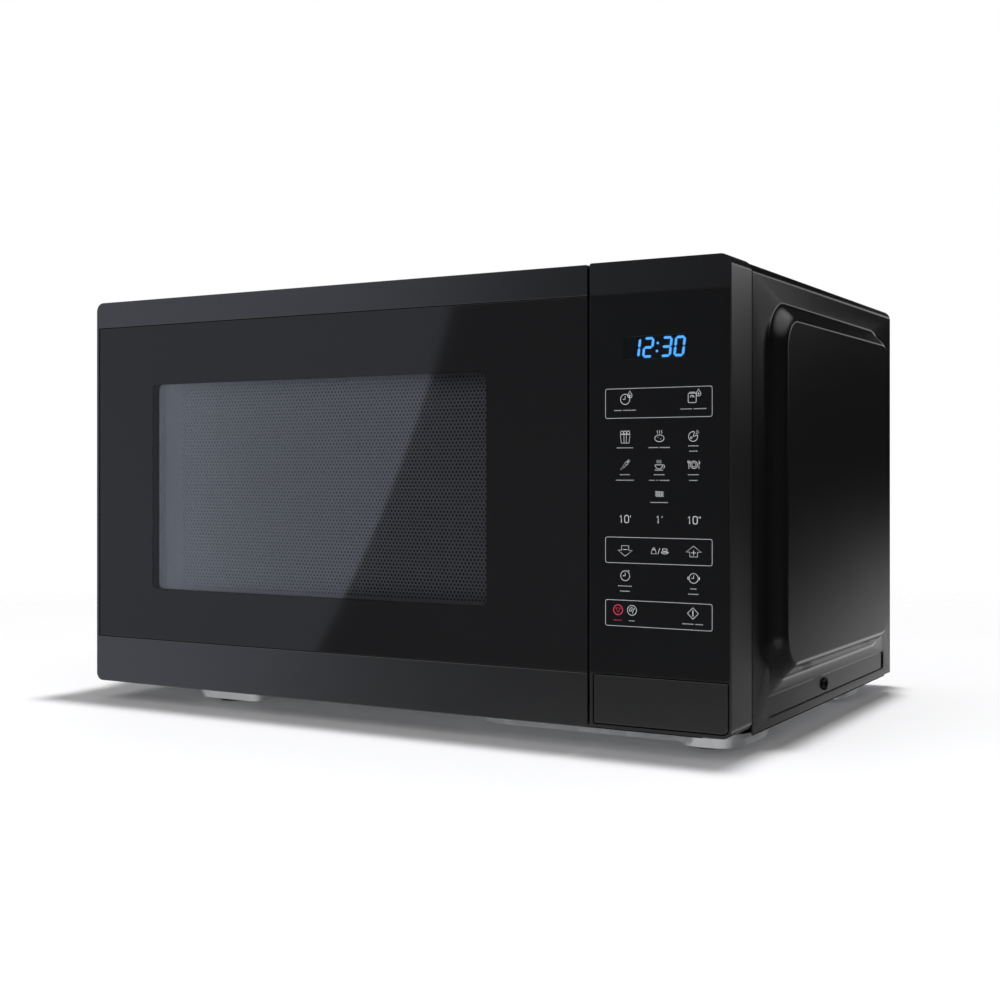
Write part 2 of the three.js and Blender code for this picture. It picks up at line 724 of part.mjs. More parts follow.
function filterBox() {
  const box = block([182 + GAP, 205], [136, 184], [130, 170]);
  const terminals = [148, 166].map((y) => block([191, 196], [y, y + 0.8], [118, 131]));
  return join(box, ...terminals);
}

const TRANSFORMER = { x: [122, 208], y: [96, 158], floor: BAY_FLOOR };

function transformerCore() {
  const { x, y, floor } = TRANSFORMER;
  const core = block(x, y, [floor, floor + 70]);
  const windows = [
    [x[0] + 14, x[0] + 30],
    [x[1] - 30, x[1] - 14],
  ].map((span) => block(span, grow(y, 1), [floor + 14, floor + 56]));
  return cut(core, ...windows);
}

function transformerWinding() {
  const { x, y, floor } = TRANSFORMER;
  const outer = rounded(grow(x, -14.5), grow(y, 13), 12);
  const leg = block([x[0] + 29.5, x[1] - 29.5], grow(y, 0.5), [floor, floor + 70]);
  const ring = plate(outer, "z", floor + 14.5, floor + 55.5);
  const yokes = block(grow(x, 5), grow(y, 0.5), [floor, floor + 70]);
  const slots = [
    [x[0] + 14.5, x[0] + 29.5],
    [x[1] - 29.5, x[1] - 14.5],
  ].map((span) => block(span, grow(y, 2), [floor + 14.5, floor + 55.5]));
  return join(cut(ring, leg, yokes), ...slots);
}

function capacitorCan(grown = 0) {
  return rounded(grow([116, 148], grown), grow([206, 258], grown), 15.9 + grown);
}

function hvCapacitor() {
  const can = plate(capacitorCan(), "z", BAY_FLOOR, BAY_FLOOR + 78);
  const tabs = [222, 238].map((y) => block([131, 131.8], [y, y + 6], [BAY_FLOOR + 77, BAY_FLOOR + 86]));
  return join(can, ...tabs);
}

function capacitorClamp() {
  const z = [BAY_FLOOR + 30, BAY_FLOOR + 46];
  const band = cut(plate(capacitorCan(1.3), "z", ...z), plate(capacitorCan(GAP), "z", z[0] - 1, z[1] + 1));
  const strap = block([149, 150.6], [226, 238], [BAY_FLOOR, z[1]]);
  const toe = block([149, 164], [226, 238], [BAY_FLOOR, BAY_FLOOR + 1.4]);
  return join(band, strap, toe);
}

function hvDiode() {
  const body = rod("y", [156, 70], 3.4, 214, 230, 12);
  const lead = block([155, 157], [229, 244], [69.5, 70.5]);
  return join(body, lead);
}

const FAN_PLATE_Y = 262;

function fanShroud() {
  const y = [FAN_PLATE_Y, FAN_PLATE_Y + 1.5];
  const centre = [FAN.x, FAN.z];
  const sheet = plate(rounded([112, 214], [BAY_FLOOR, 250], 3), "y", ...y);
  const duct = rod("y", centre, FAN.radius + 4, y[0], y[0] + 15, 24);
  const posts = [-1, 1].map((side) =>
    rod("y", [FAN.x + side * 46, FAN.z + 28], 3, y[0], 281, 10),
  );
  const bore = rod("y", centre, FAN.radius + 2.5, y[0] - 5, y[0] + 30, 24);
  return cut(join(sheet, duct, ...posts), bore);
}

function fanMotor() {
  const { x, z } = FAN;
  const stack = plate(rounded([x - 24, x + 24], [z - 30, z + 30], 4), "y", 281.5, 297);
  const strap = block([x - 50, x + 50], [281.5, 283], [z + 22, z + 34]);
  const coil = rod("y", [x, z - 20], 13, 279.5, 299, 14);
  const shaft = rod("y", [x, z], 1.6, 266, 282, 10);
  return join(stack, strap, coil, shaft);
}

function fanBlade() {
  const centre = [FAN.x, FAN.z];
  const middle = FAN_PLATE_Y + 9;
  let fan = rod("y", centre, 11, middle - 6, middle + 6, 12);
  const blades = 5;
  for (let i = 0; i < blades; i++) {
    const blade = new THREE.BoxGeometry(FAN.radius - 9, 1.4, 24);
    blade.rotateX(0.5).translate((FAN.radius + 9) / 2, 0, 0);
    blade.rotateY((i * Math.PI * 2) / blades).translate(FAN.x, middle, FAN.z);
    fan = join(fan, solid(blade));
  }
  const bore = rod("y", centre, 2, middle - 5, middle + 10, 10);
  return cut(fan.intersect(rod("y", centre, FAN.radius, 240, 300, 24)), bore);
}

function lineFilterBoard() {
  const board = block([120, 200], [214, 250], [226, 227.6]);
  const choke = rod("x", [232, 240], 10, 150, 176, 14);
  const capacitor = block([126, 144], [220, 244], [227, 242]);
  const legs = block([158, 168], [228, 236], [227, 234]);
  return join(board, choke, capacitor, legs);
}

function thermalCutout() {
  const seat = 202 + GAP;
  const disc = rod("z", [160, 158], 8, seat, seat + 6, 16);
  const tabs = [151, 163].map((x) => block([x, x + 5], [157.6, 158.4], [seat + 5, seat + 14]));
  return join(disc, ...tabs);
}

function ovenLamp() {
  const bulb = turned(
    [
      [0, 206],
      [6, 208],
      [9, 214],
      [9, 220],
      [6, 226],
      [6, 236],
      [0, 236],
    ],
    [124, 96],
    16,
  );
  return join(bulb, block([112, 136], [86, 106], [232, 244]));
}

// ---- Assembly: [name, solid, finish] ------------------------------------------------------------
const pieces = [
  ["cabinet_wrap", drilledWrap(), blackPaint],
  ["rear_plate", rearPlate(), galvanised],
  ["base_plate", basePlate(), galvanised],
  ["side_screw_left", sideScrew(-1), blackScrew],
  ["side_screw_right", sideScrew(1), blackScrew],
  ["rear_screw_left", rearScrew(REAR_SCREWS[0]), blackScrew],
  ["rear_screw_right", rearScrew(REAR_SCREWS[1]), blackScrew],
  ["cord_gland", cordGland(), satinBlack],
  ["rear_spacer", rearSpacer(), satinBlack],
  ...Object.entries(FEET).map(([name, spec]) => [`foot_${name}`, foot(spec), rubber]),

  ["front_plate", frontPlate(), greyEnamel],
  ["cavity_shell", cavityShell(), greyEnamel],
  ["waveguide", waveguide(), galvanised],
  ["waveguide_cover", waveguideCover(), mica],
  ["oven_lamp", ovenLamp(), lampGlass],

  ["turntable_motor", turntableMotor(), magnetronSteel],
  ["drive_coupler", driveCoupler(), whitePlastic],
  ["glass_turntable", glassTurntable(), clearGlass],
  ["roller_ring", rollerRing(), whitePlastic],
  ...[0, 1, 2].map((i) => [`roller_${i + 1}`, roller(i), whitePlastic]),

  ["door_frame", doorFrame(), satinBlack],
  ["door_glass", doorGlass(), printedGlass],
  ["door_screen", doorScreen(), blackPaint],
  ["door_panel", doorPanel(), greyEnamel],
  ["door_choke_cover", doorChokeCover(), greyPlastic],
  ["door_inner_film", doorInnerFilm(), clearFilm],
  ["latch_hooks", latchHooks(), whitePlastic],
  ["latch_spring", latchSpring(), springSteel],
  ["upper_hinge", hingeBracket("upper"), galvanised],
  ["lower_hinge", hingeBracket("lower"), galvanised],

  ["control_bezel", controlBezel(), satinBlack],
  ["touch_panel", touchPanel(), glossBlack],
  ["display_lens", displayLens(), smokedLens],
  ["display_module", displayModule(), blackPhenolic],
  ["control_board", controlBoard(), boardGreen],
  ["release_button", releaseButton(), satinBlack],
  ["button_spring", buttonSpring(), springSteel],
  ["release_lever", releaseLever(), whitePlastic],
  ["latch_bracket", latchBracket(), whitePlastic],
  ...Object.entries(SWITCHES).map(([name, low]) => [
    `${name}_switch`,
    microSwitch(low),
    blackPhenolic,
  ]),

  ["magnetron", magnetron(), magnetronSteel],
  ["magnetron_filter_box", filterBox(), galvanised],
  ["transformer_core", transformerCore(), laminations],
  ["transformer_winding", transformerWinding(), varnishedCopper],
  ["hv_capacitor", hvCapacitor(), canAluminium],
  ["capacitor_clamp", capacitorClamp(), galvanised],
  ["hv_diode", hvDiode(), satinBlack],
  ["fan_shroud", fanShroud(), greyPlastic],
  ["fan_motor", fanMotor(), laminations],
  ["fan_blade", fanBlade(), whitePlastic],
  ["line_filter_board", lineFilterBoard(), boardBrown],
  ["thermal_cutout", thermalCutout(), canAluminium],
];
for (const [name, shape, material] of pieces) addTo(oven, name, shape, material);

oven.position.y = -DEPTH / 2; // the origin is under the middle of the whole depth
export default oven;
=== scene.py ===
"""A countertop microwave oven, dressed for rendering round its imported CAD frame.

Every piece is built in place, in metres, and rides on the CAD body that it belongs to.
Lengths written as numbers are millimetres times MM; places come from the frame's own boxes.
"""

import json
import math

import bmesh
import bpy
from mathutils import Matrix, Vector


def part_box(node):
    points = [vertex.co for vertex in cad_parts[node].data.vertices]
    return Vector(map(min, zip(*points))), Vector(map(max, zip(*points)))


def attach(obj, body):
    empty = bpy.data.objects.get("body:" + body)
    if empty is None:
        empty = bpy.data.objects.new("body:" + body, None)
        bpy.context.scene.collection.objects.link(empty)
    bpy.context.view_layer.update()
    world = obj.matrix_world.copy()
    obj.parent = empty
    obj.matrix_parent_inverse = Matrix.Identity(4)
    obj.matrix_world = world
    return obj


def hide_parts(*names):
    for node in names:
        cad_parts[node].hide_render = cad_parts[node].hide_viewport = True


bl_info = {
    "name": "Microwave Oven Dresser",
    "version": (1, 0, 0),
    "blender": (4, 5, 0),
    "location": "View3D > Sidebar > Oven",
    "description": "Builds the finished pieces of a countertop microwave oven round its CAD frame",
    "category": "Object",
}

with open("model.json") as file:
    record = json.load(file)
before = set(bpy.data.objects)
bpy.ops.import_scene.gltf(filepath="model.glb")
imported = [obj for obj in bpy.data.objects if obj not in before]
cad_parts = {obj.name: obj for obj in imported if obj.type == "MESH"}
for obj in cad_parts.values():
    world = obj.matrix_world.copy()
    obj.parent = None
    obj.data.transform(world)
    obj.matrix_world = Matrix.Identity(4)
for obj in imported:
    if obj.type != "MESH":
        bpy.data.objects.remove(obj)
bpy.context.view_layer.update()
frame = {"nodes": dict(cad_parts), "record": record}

MM = 0.001
X, Y, Z = 0, 1, 2
DOOR_LOW, DOOR_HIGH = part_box("door_frame")
BEZEL_LOW, BEZEL_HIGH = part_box("control_bezel")
GLASS_LOW, GLASS_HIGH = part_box("door_glass")
WRAP_LOW, WRAP_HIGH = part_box("cabinet_wrap")
FRONT = DOOR_LOW.y
SIDE = BEZEL_HIGH.x  # the flat of the cabinet's side, without its bulge


def behind(depth_mm):
    """The y of a plane this far behind the oven's front."""
    return FRONT + depth_mm * MM


# ---- Settings -------------------------------------------------------------------------------


def length(name, text, millimetres):
    return bpy.props.FloatProperty(
        name=name, description=text, default=millimetres * MM, min=0, unit="LENGTH", precision=5
    )


def colour(name, text, value):
    return bpy.props.FloatVectorProperty(
        name=name, description=text, default=value, size=3, min=0, max=1, subtype="COLOR"
    )


class CasingSettings(bpy.types.PropertyGroup):
    sheet: length("Sheet", "Thickness of the pressed steel sheets", 0.8)
    bend: length("Bend", "Outside radius of the casing's long bends", 6)
    bulge_ramp: length("Bulge ramp", "Width of the slope round the side bulge", 11.5)
    flange: length("Rear flange", "Width of the casing's turned-in rear edge", 12)
    paint: colour("Casing paint", "Colour of the casing's gloss paint", (0.006, 0.006, 0.0066))
    enamel: colour("Cavity enamel", "Colour of the cavity's enamel", (0.52, 0.53, 0.51))
    zinc: colour("Zinc", "Colour of the galvanised sheet", (0.72, 0.73, 0.75))


class DoorSettings(bpy.types.PropertyGroup):
    moulded_edge: length("Moulded edge", "Rounding of the plastic mouldings' edges", 0.7)
    window_corner: length("Window corner", "Corner radius of the printed window", 4)
    hole_pitch: length("Hole pitch", "Distance between the screen's holes", 2.42)
    hole_size: length("Hole size", "Width of a hole in the screen", 1.75)
    plastic: colour("Plastic", "Colour of the black mouldings", (0.0075, 0.0078, 0.0085))
    print_black: colour("Glass print", "Colour of the print behind the glass", (0.013, 0.013, 0.014))
    screen: colour("Screen", "Colour of the perforated screen", (0.2, 0.19, 0.205))


class PanelSettings(bpy.types.PropertyGroup):
    stroke: length("Stroke", "Width of the printed lines", 0.34)
    digit_height: length("Digit height", "Height of the display's digits", 9.4)
    overlay: colour("Overlay", "Colour of the touch panel", (0.0075, 0.0078, 0.0085))
    ink: colour("Ink", "Colour of the printed marks", (0.75, 0.76, 0.78))
    stop_ink: colour("Stop ink", "Colour of the stop mark", (0.75, 0.04, 0.11))
    glow: colour("Display glow", "Colour of the lit digits", (0.07, 0.46, 1.0))


SETTINGS = {"oven_casing": CasingSettings, "oven_door": DoorSettings, "oven_panel": PanelSettings}


def casing():
    return bpy.context.scene.oven_casing


def door():
    return bpy.context.scene.oven_door


def panel():
    return bpy.context.scene.oven_panel


# ---- Shader building ------------------------------------------------------------------------


class Number:
    """A number in a node tree; Python's operators on it add Math nodes."""

    def __init__(self, finish, socket):
        self.finish = finish
        self.socket = socket

    def maths(self, operation, *values):
        node = self.finish.add("ShaderNodeMath", {"operation": operation}, dict(enumerate(values)))
        return Number(self.finish, node.outputs[0])

    def __add__(self, other):
        return self.maths("ADD", self, other)

    def __radd__(self, other):
        return self.maths("ADD", other, self)

    def __sub__(self, other):
        return self.maths("SUBTRACT", self, other)

    def __rsub__(self, other):
        return self.maths("SUBTRACT", other, self)

    def __mul__(self, other):
        return self.maths("MULTIPLY", self, other)

    def __rmul__(self, other):
        return self.maths("MULTIPLY", other, self)

    def __truediv__(self, other):
        return self.maths("DIVIDE", self, other)

    def __neg__(self):
        return self.maths("MULTIPLY", self, -1)

    def __abs__(self):
        return self.maths("ABSOLUTE", self)

    def __pow__(self, other):
        return self.maths("POWER", self, other)

    def larger(self, other):
        return self.maths("MAXIMUM", self, other)

    def smaller(self, other):
        return self.maths("MINIMUM", self, other)

    def between(self, low, high):
        """0 below low, 1 above high, and a smooth rise between."""
        settings = {"interpolation_type": "SMOOTHSTEP"}
        values = {"Value": self, "From Min": low, "From Max": high}
        node = self.finish.add("ShaderNodeMapRange", settings, values)
        return Number(self.finish, node.outputs["Result"])


class Finish:
    """One material: its Principled shader, and the nodes that feed it."""

    def __init__(self, name, colour=(0.8, 0.8, 0.8), **constants):
        self.material = bpy.data.materials.new(name)
        self.material.use_nodes = True
        self.tree = self.material.node_tree
        self.shader = self.tree.nodes["Principled BSDF"]
        self.output = self.tree.nodes["Material Output"]
        self.colour = (*colour, 1)
        self.material.diffuse_color = self.colour
        self.shader.inputs["Base Color"].default_value = self.colour
        for key, value in constants.items():
            self.shader.inputs[key.replace("_", " ").title().replace("Ior", "IOR")].default_value = value
        self.place = self.add("ShaderNodeTexCoord").outputs["Object"]

    def add(self, kind, settings=None, values=None):
        """A node of any type: settings are its own attributes, values feed its sockets."""
        node = self.tree.nodes.new(kind)
        for key, value in (settings or {}).items():
            if key == "stops":
                ramp = node.color_ramp.elements
                while len(ramp) < len(value):
                    ramp.new(0.5)
                for element, (position, shade) in zip(ramp, value):
                    element.position = position
                    element.color = (*shade, 1)
            else:
                setattr(node, key, value)
        for key, value in (values or {}).items():
            self.feed(node.inputs[key], value)
        return node

    def feed(self, socket, value):
        value = getattr(value, "socket", value)
        if isinstance(value, bpy.types.NodeSocket):
            self.tree.links.new(value, socket)
        else:
            socket.default_value = value

    def number(self, socket):
        return Number(self, socket)

    def axis(self, index):
        split = self.add("ShaderNodeSeparateXYZ", values={0: self.place})
        return self.number(split.outputs[index])

    def noise(self, scale, detail=3.0, stretch=(1, 1, 1), roughness=0.5):
        """Fractal noise from 0 to 1; scale is in features per metre."""
        where = self.add("ShaderNodeMapping", values={"Vector": self.place, "Scale": stretch})
        values = {"Vector": where.outputs[0], "Scale": scale, "Detail": detail, "Roughness": roughness}
        return self.number(self.add("ShaderNodeTexNoise", values=values).outputs[0])

    def cells(self, scale, output="Color", stretch=(1, 1, 1), settings=None):
        where = self.add("ShaderNodeMapping", values={"Vector": self.place, "Scale": stretch})
        values = {"Vector": where.outputs[0], "Scale": scale}
        return self.add("ShaderNodeTexVoronoi", settings, values).outputs[output]

    def bands(self, direction, scale, distortion):
        """Regular bands from 0 to 1, across an axis."""
        values = {"Vector": self.place, "Scale": scale, "Distortion": distortion}
        node = self.add("ShaderNodeTexWave", {"bands_direction": direction}, values)
        return self.number(node.outputs[1])

    def blend(self, amount, first, second, mode="MIX"):
        """A colour mix; the colours are sockets or RGB triples."""
        sides = [(*c, 1) if isinstance(c, (tuple, list)) and len(c) == 3 else c for c in (first, second)]
        values = {0: amount, 6: sides[0], 7: sides[1]}
        return self.add("ShaderNodeMix", {"data_type": "RGBA", "blend_type": mode}, values).outputs[2]

    def tinted(self, amount, share):
        """The base colour, darkened and lightened by a share as amount runs from 0 to 1."""
        dark = tuple(c * (1 - share) for c in self.colour[:3])
        light = tuple(min(1, c * (1 + share)) for c in self.colour[:3])
        self.base(self.blend(amount, dark, light))

    def base(self, socket):
        self.feed(self.shader.inputs["Base Color"], socket)

    def rough(self, value):
        self.feed(self.shader.inputs["Roughness"], value)

    def bump(self, height, depth_mm, strength=1.0):
        values = {"Strength": strength, "Distance": depth_mm * MM, "Height": height}
        normal = self.add("ShaderNodeBump", values=values).outputs[0]
        self.feed(self.shader.inputs["Normal"], normal)

    def surface(self, socket):
        self.feed(self.output.inputs["Surface"], socket)


# ---- Finishes -------------------------------------------------------------------------------


def gloss_paint(name, shade, roughness=0.15, ior=1.5):
    """Powder coat: a gloss film with faint orange peel and dust."""
    f = Finish(name, shade, ior=ior)
    f.tinted(f.noise(9, 4), 0.12)
    f.rough(roughness + 0.3 * roughness * f.noise(14, 3))
    f.bump(f.noise(700, 1), 0.004)
    return f.material


def moulded(name, shade, roughness=0.38, grain_mm=0.012, coat=0.0, grain_scale=1500, ior=1.5):
    """Injection moulded plastic with a spark-eroded grain."""
    f = Finish(name, shade, coat_weight=coat, coat_roughness=0.1, ior=ior)
    f.tinted(f.noise(25, 4), 0.1)
    f.rough(roughness - 0.02 + 0.04 * f.noise(20, 3))
    f.bump(f.noise(grain_scale, 3), grain_mm)
    return f.material


def galvanised(name, shade):
    """Zinc-dipped sheet with its crystal spangle and rolling lines."""
    f = Finish(name, shade, metallic=0.8)
    spangle = f.cells(150)
    grey = f.number(f.add("ShaderNodeRGBToBW", values={0: spangle}).outputs[0])
    scratch = f.noise(260, 4, (0.12, 4, 4))
    f.tinted(0.45 * grey + 0.3 * scratch + 0.25 * f.noise(18, 4), 0.16)
    f.rough(0.3 + 0.1 * grey + 0.1 * scratch)
    f.bump(grey * 0.5 + scratch * 0.5, 0.006)
    return f.material


def enamelled(name, shade):
    """Baked grey enamel with fine fleck and gentle waves."""
    f = Finish(name, shade, coat_weight=0.25, coat_roughness=0.15)
    fleck = f.noise(1300, 2).between(0.56, 0.7)
    f.base(f.blend(0.35 * fleck + 0.12 * f.noise(16, 4), tuple(f.colour[:3]), (0.27, 0.275, 0.27)))
    f.rough(0.34 + 0.12 * f.noise(40, 4))
    f.bump(f.noise(300, 3), 0.015)
    return f.material


def metal(name, shade, roughness=0.35, lines=(1, 1, 12), scale=160):
    """Plated or drawn metal with lines along its making."""
    f = Finish(name, shade, metallic=1.0)
    line = f.noise(scale, 5, lines)
    f.tinted(0.6 * line + 0.4 * f.noise(30, 4), 0.2)
    f.rough(roughness - 0.08 + 0.18 * line)
    f.bump(line, 0.01)
    return f.material


def laminated(name, shade):
    """A stack of thin steel plates under varnish."""
    f = Finish(name, shade, metallic=0.7, coat_weight=0.3)
    plates = f.bands("Y", 330, 0.4)
    f.tinted(0.7 * plates + 0.3 * f.noise(50, 4), 0.35)
    f.rough(0.4 + 0.2 * f.noise(80, 3))
    f.bump(plates, 0.1)
    return f.material


def wound(name, shade):
    """Enamelled copper wire in close turns."""
    f = Finish(name, shade, metallic=0.9, coat_weight=0.5)
    turns = f.bands("Z", 260, 0.6)
    f.tinted(0.8 * turns + 0.2 * f.noise(90, 3), 0.45)
    f.rough(0.3 + 0.15 * f.noise(120, 3))
    f.bump(turns, 0.3)
    return f.material


def moulded_rubber(name):
    f = Finish(name, (0.012, 0.012, 0.012))
    f.tinted(f.noise(80, 5), 0.4)
    f.rough(0.72 + 0.2 * f.noise(150, 4))
    f.bump(f.noise(1400, 4), 0.03)
    return f.material


def board(name, shade):
    """Printed circuit board with tracks under its lacquer."""
    f = Finish(name, shade, coat_weight=0.3)
    edges = f.cells(260, "Distance", settings={"distance": "CHEBYCHEV"})
    tracks = f.number(edges).between(0.2, 0.34)
    f.base(f.blend(0.5 * tracks, tuple(shade), tuple(c * 0.45 for c in shade)))
    f.rough(0.4 + 0.15 * f.noise(70, 3))
    f.bump(tracks, 0.03)
    return f.material


def mica_sheet(name):
    f = Finish(name, (0.44, 0.37, 0.26), metallic=0.15)
    flakes = f.cells(160, "Color", (1, 0.4, 1))
    grey = f.number(f.add("ShaderNodeRGBToBW", values={0: flakes}).outputs[0])
    f.tinted(0.6 * grey + 0.4 * f.noise(60, 5), 0.3)
    f.rough(0.4 + 0.25 * grey)
    f.bump(grey, 0.02)
    return f.material


def clear(name, shade, roughness=0.03, ior=1.47):
    """Clear pressed glass or film."""
    f = Finish(name, shade, transmission_weight=1.0, ior=ior)
    f.rough(roughness + 0.04 * f.noise(30, 4))
    f.bump(f.noise(60, 2), 0.02)
    return f.material


def see_through(f, tint, gloss_roughness, share=1.0):
    """A thin clear sheet: what is behind it, tinted, under the reflection of share surfaces."""
    behind_it = f.add("ShaderNodeBsdfTransparent", values={"Color": (*tint, 1)})
    shine = f.add("ShaderNodeBsdfGlossy", values={"Color": (1, 1, 1, 1), "Roughness": gloss_roughness})
    edge = f.number(f.add("ShaderNodeFresnel", values={"IOR": 1.45}).outputs[0])
    values = {0: edge * share, 1: behind_it.outputs[0], 2: shine.outputs[0]}
    return f.add("ShaderNodeMixShader", values=values).outputs[0]


def film(name):
    f = Finish(name, (0.8, 0.82, 0.84))
    haze = f.noise(45, 4)
    f.rough(0.18 + 0.1 * haze)
    # The dark grey tint on what shows through is painted shade: it darkens the cavity seen through the
    # screen's holes, though the film itself is clear.
    clear_part = see_through(f, (0.35, 0.36, 0.38), 0.12)
    values = {0: 0.06 + 0.05 * haze, 1: clear_part, 2: f.shader.outputs[0]}
    f.surface(f.add("ShaderNodeMixShader", values=values).outputs[0])
    return f.material


def lens_glass(name):
    f = Finish(name, (0.02, 0.024, 0.03), coat_weight=0.5)
    haze = f.noise(120, 3)
    f.rough(0.12 + 0.05 * haze)
    clear_part = see_through(f, (0.6, 0.64, 0.7), 0.06)
    values = {0: 0.2 + 0.05 * haze, 1: clear_part, 2: f.shader.outputs[0]}
    f.surface(f.add("ShaderNodeMixShader", values=values).outputs[0])
    return f.material


def rounded_window(f, low, high, corner):
    """1 inside a rounded rectangle in the oven's front plane, 0 outside it."""
    centre = [(low[0] + high[0]) / 2, (low[1] + high[1]) / 2]
    half = [(high[0] - low[0]) / 2 - corner, (high[1] - low[1]) / 2 - corner]
    across = abs(f.axis(X) - centre[0]) - half[0]
    up = abs(f.axis(Z) - centre[1]) - half[1]
    outside = (across.larger(0) ** 2 + up.larger(0) ** 2) ** 0.5
    distance = outside + across.larger(up).smaller(0) - corner
    return 1 - distance.between(-0.1 * MM, 0.1 * MM)


def printed_glass(name):
    """Clear glass printed black on its back, but for the window."""
    f = Finish(name, tuple(door().print_black))
    f.tinted(f.noise(6, 4), 0.15)
    f.rough(0.035 + 0.02 * f.noise(12, 4))
    low, high = window_span()
    mask = rounded_window(f, low, high, door().window_corner)
    clear_part = see_through(f, (0.82, 0.835, 0.85), 0.02, 1.2)
    values = {0: mask, 1: f.shader.outputs[0], 2: clear_part}
    f.surface(f.add("ShaderNodeMixShader", values=values).outputs[0])
    return f.material


def ink(name, shade):
    f = Finish(name, shade)
    f.tinted(f.noise(500, 3), 0.12)
    f.rough(0.45 + 0.15 * f.noise(300, 3))
    f.bump(f.noise(900, 2), 0.005)
    return f.material


def lit(name, shade, strength):
    """A glowing segment, its glow paler in small patches."""
    f = Finish(name, tuple(c * 0.3 for c in shade), roughness=0.4)
    spread = f.noise(700, 2)
    pale = tuple(0.12 + 0.88 * c for c in shade)
    f.feed(f.shader.inputs["Emission Color"], f.blend(spread, tuple(shade), pale))
    f.shader.inputs["Emission Strength"].default_value = strength
    f.rough(0.35 + 0.1 * spread)
    return f.material


PALETTE = {}


def palette():
    """Every finish of the oven, by the record's slot names and a few more for printed marks."""
    if PALETTE:
        return PALETTE
    c, d, p = casing(), door(), panel()
    PALETTE.update(
        black_paint=gloss_paint("casing_gloss_black", tuple(c.paint)),
        satin_black=moulded("satin_black_moulding", tuple(d.plastic), 0.22, 0.002, ior=2.0),
        gloss_black=moulded("overlay_gloss_black", tuple(p.overlay), 0.16, 0.002, 0.3),
        printed_glass=printed_glass("black_printed_glass"),
        smoked_lens=lens_glass("smoked_display_lens"),
        galvanised=galvanised("galvanised_sheet", tuple(c.zinc)),
        grey_enamel=enamelled("cavity_enamel", tuple(c.enamel)),
        clear_glass=clear("clear_pressed_glass", (0.93, 0.97, 0.96)),
        clear_film=film("door_film_painted_shade"),
        grey_plastic=moulded("grey_moulding", (0.11, 0.115, 0.12), 0.42, 0.03),
        white_plastic=moulded("natural_acetal", (0.72, 0.7, 0.64), 0.4, 0.01),
        rubber=moulded_rubber("foot_rubber"),
        black_screw=metal("black_zinc_screw", (0.03, 0.03, 0.034), 0.34, (1, 1, 1), 400),
        black_switch=moulded("black_phenolic", (0.02, 0.02, 0.021), 0.5, 0.02),
        spring_steel=metal("spring_wire", (0.62, 0.62, 0.64), 0.28),
        laminations=laminated("steel_laminations", (0.12, 0.12, 0.13)),
        copper_wire=wound("varnished_copper", (0.62, 0.24, 0.1)),
        steel_case=metal("plated_steel", (0.6, 0.6, 0.62), 0.34),
        aluminium_can=metal("drawn_aluminium", (0.78, 0.79, 0.8), 0.3),
        mica=mica_sheet("pressed_mica"),
        circuit_board=board("green_board", (0.03, 0.2, 0.08)),
        paper_board=board("brown_board", (0.4, 0.24, 0.1)),
        screen_paint=gloss_paint("screen_paint", tuple(d.screen), 0.1, 2.0),
        print_ink=ink("pale_ink", tuple(p.ink)),
        stop_ink=ink("red_ink", tuple(p.stop_ink)),
        glow=lit("lit_segment", tuple(p.glow), 4.0),
        unlit=ink("unlit_segment", (0.03, 0.035, 0.042)),
        display_back=moulded("display_backing", (0.035, 0.036, 0.042), 0.35, 0.004),
    )
    return PALETTE


# ---- Mesh building --------------------------------------------------------------------------


def slab(low, high, axis=Y, radii=(0, 0, 0, 0), segments=8):
    """A block whose four edges along an axis are rounded, each by its own radius.

    The radii run anticlockwise from the low corner, as seen with the next two axes as
    across and up: x and z for a slab along y.
    """
    bm = bmesh.new()
    low, high = Vector(low), Vector(high)
    verts = bmesh.ops.create_cube(bm, size=1)["verts"]
    bmesh.ops.scale(bm, vec=high - low, verts=verts)
    bmesh.ops.translate(bm, vec=(low + high) / 2, verts=verts)
    across, up = {X: (Y, Z), Y: (X, Z), Z: (X, Y)}[axis]
    middle = (low + high) / 2
    corners = {(False, False): 0, (True, False): 1, (True, True): 2, (False, True): 3}
    chosen = {}
    for edge in bm.edges:
        a, b = (v.co for v in edge.verts)
        if abs((a - b)[across]) < 1e-9 and abs((a - b)[up]) < 1e-9:
            chosen[corners[(a[across] > middle[across], a[up] > middle[up])]] = edge
    for corner, radius in enumerate(radii):
        if radius:
            round_edges(bm, [chosen[corner]], radius, segments)
    return bm


def round_edges(bm, edges, radius, segments=3):
    bmesh.ops.bevel(
        bm, geom=edges, offset=radius, offset_type="OFFSET", affect="EDGES",
        segments=segments, profile=0.5, material=-1, clamp_overlap=True,
    )


def turned(profile, centre, axis=Z, steps=48):
    """A turned piece: (radius, height) points spun about a line along an axis."""
    bm = bmesh.new()
    verts = [bm.verts.new((radius, 0, height)) for radius, height in profile]
    edges = [bm.edges.new(pair) for pair in zip(verts, verts[1:])]
    bmesh.ops.spin(
        bm, geom=verts + edges, cent=(0, 0, 0), axis=(0, 0, 1), dvec=(0, 0, 0),
        angle=math.tau, steps=steps, use_merge=True, use_duplicate=False,
    )
    bmesh.ops.remove_doubles(bm, verts=bm.verts, dist=1e-7)
    turn = {Z: Matrix(), Y: Matrix.Rotation(-math.pi / 2, 4, "X"), X: Matrix.Rotation(math.pi / 2, 4, "Y")}
    bmesh.ops.transform(bm, matrix=Matrix.Translation(centre) @ turn[axis], verts=bm.verts)
    bmesh.ops.recalc_face_normals(bm, faces=bm.faces)
    return bm


def rod_profile(radius, low, high):
    """The profile of a plain round rod, for turned."""
    return [(0, low), (radius, low), (radius, high), (0, high)]


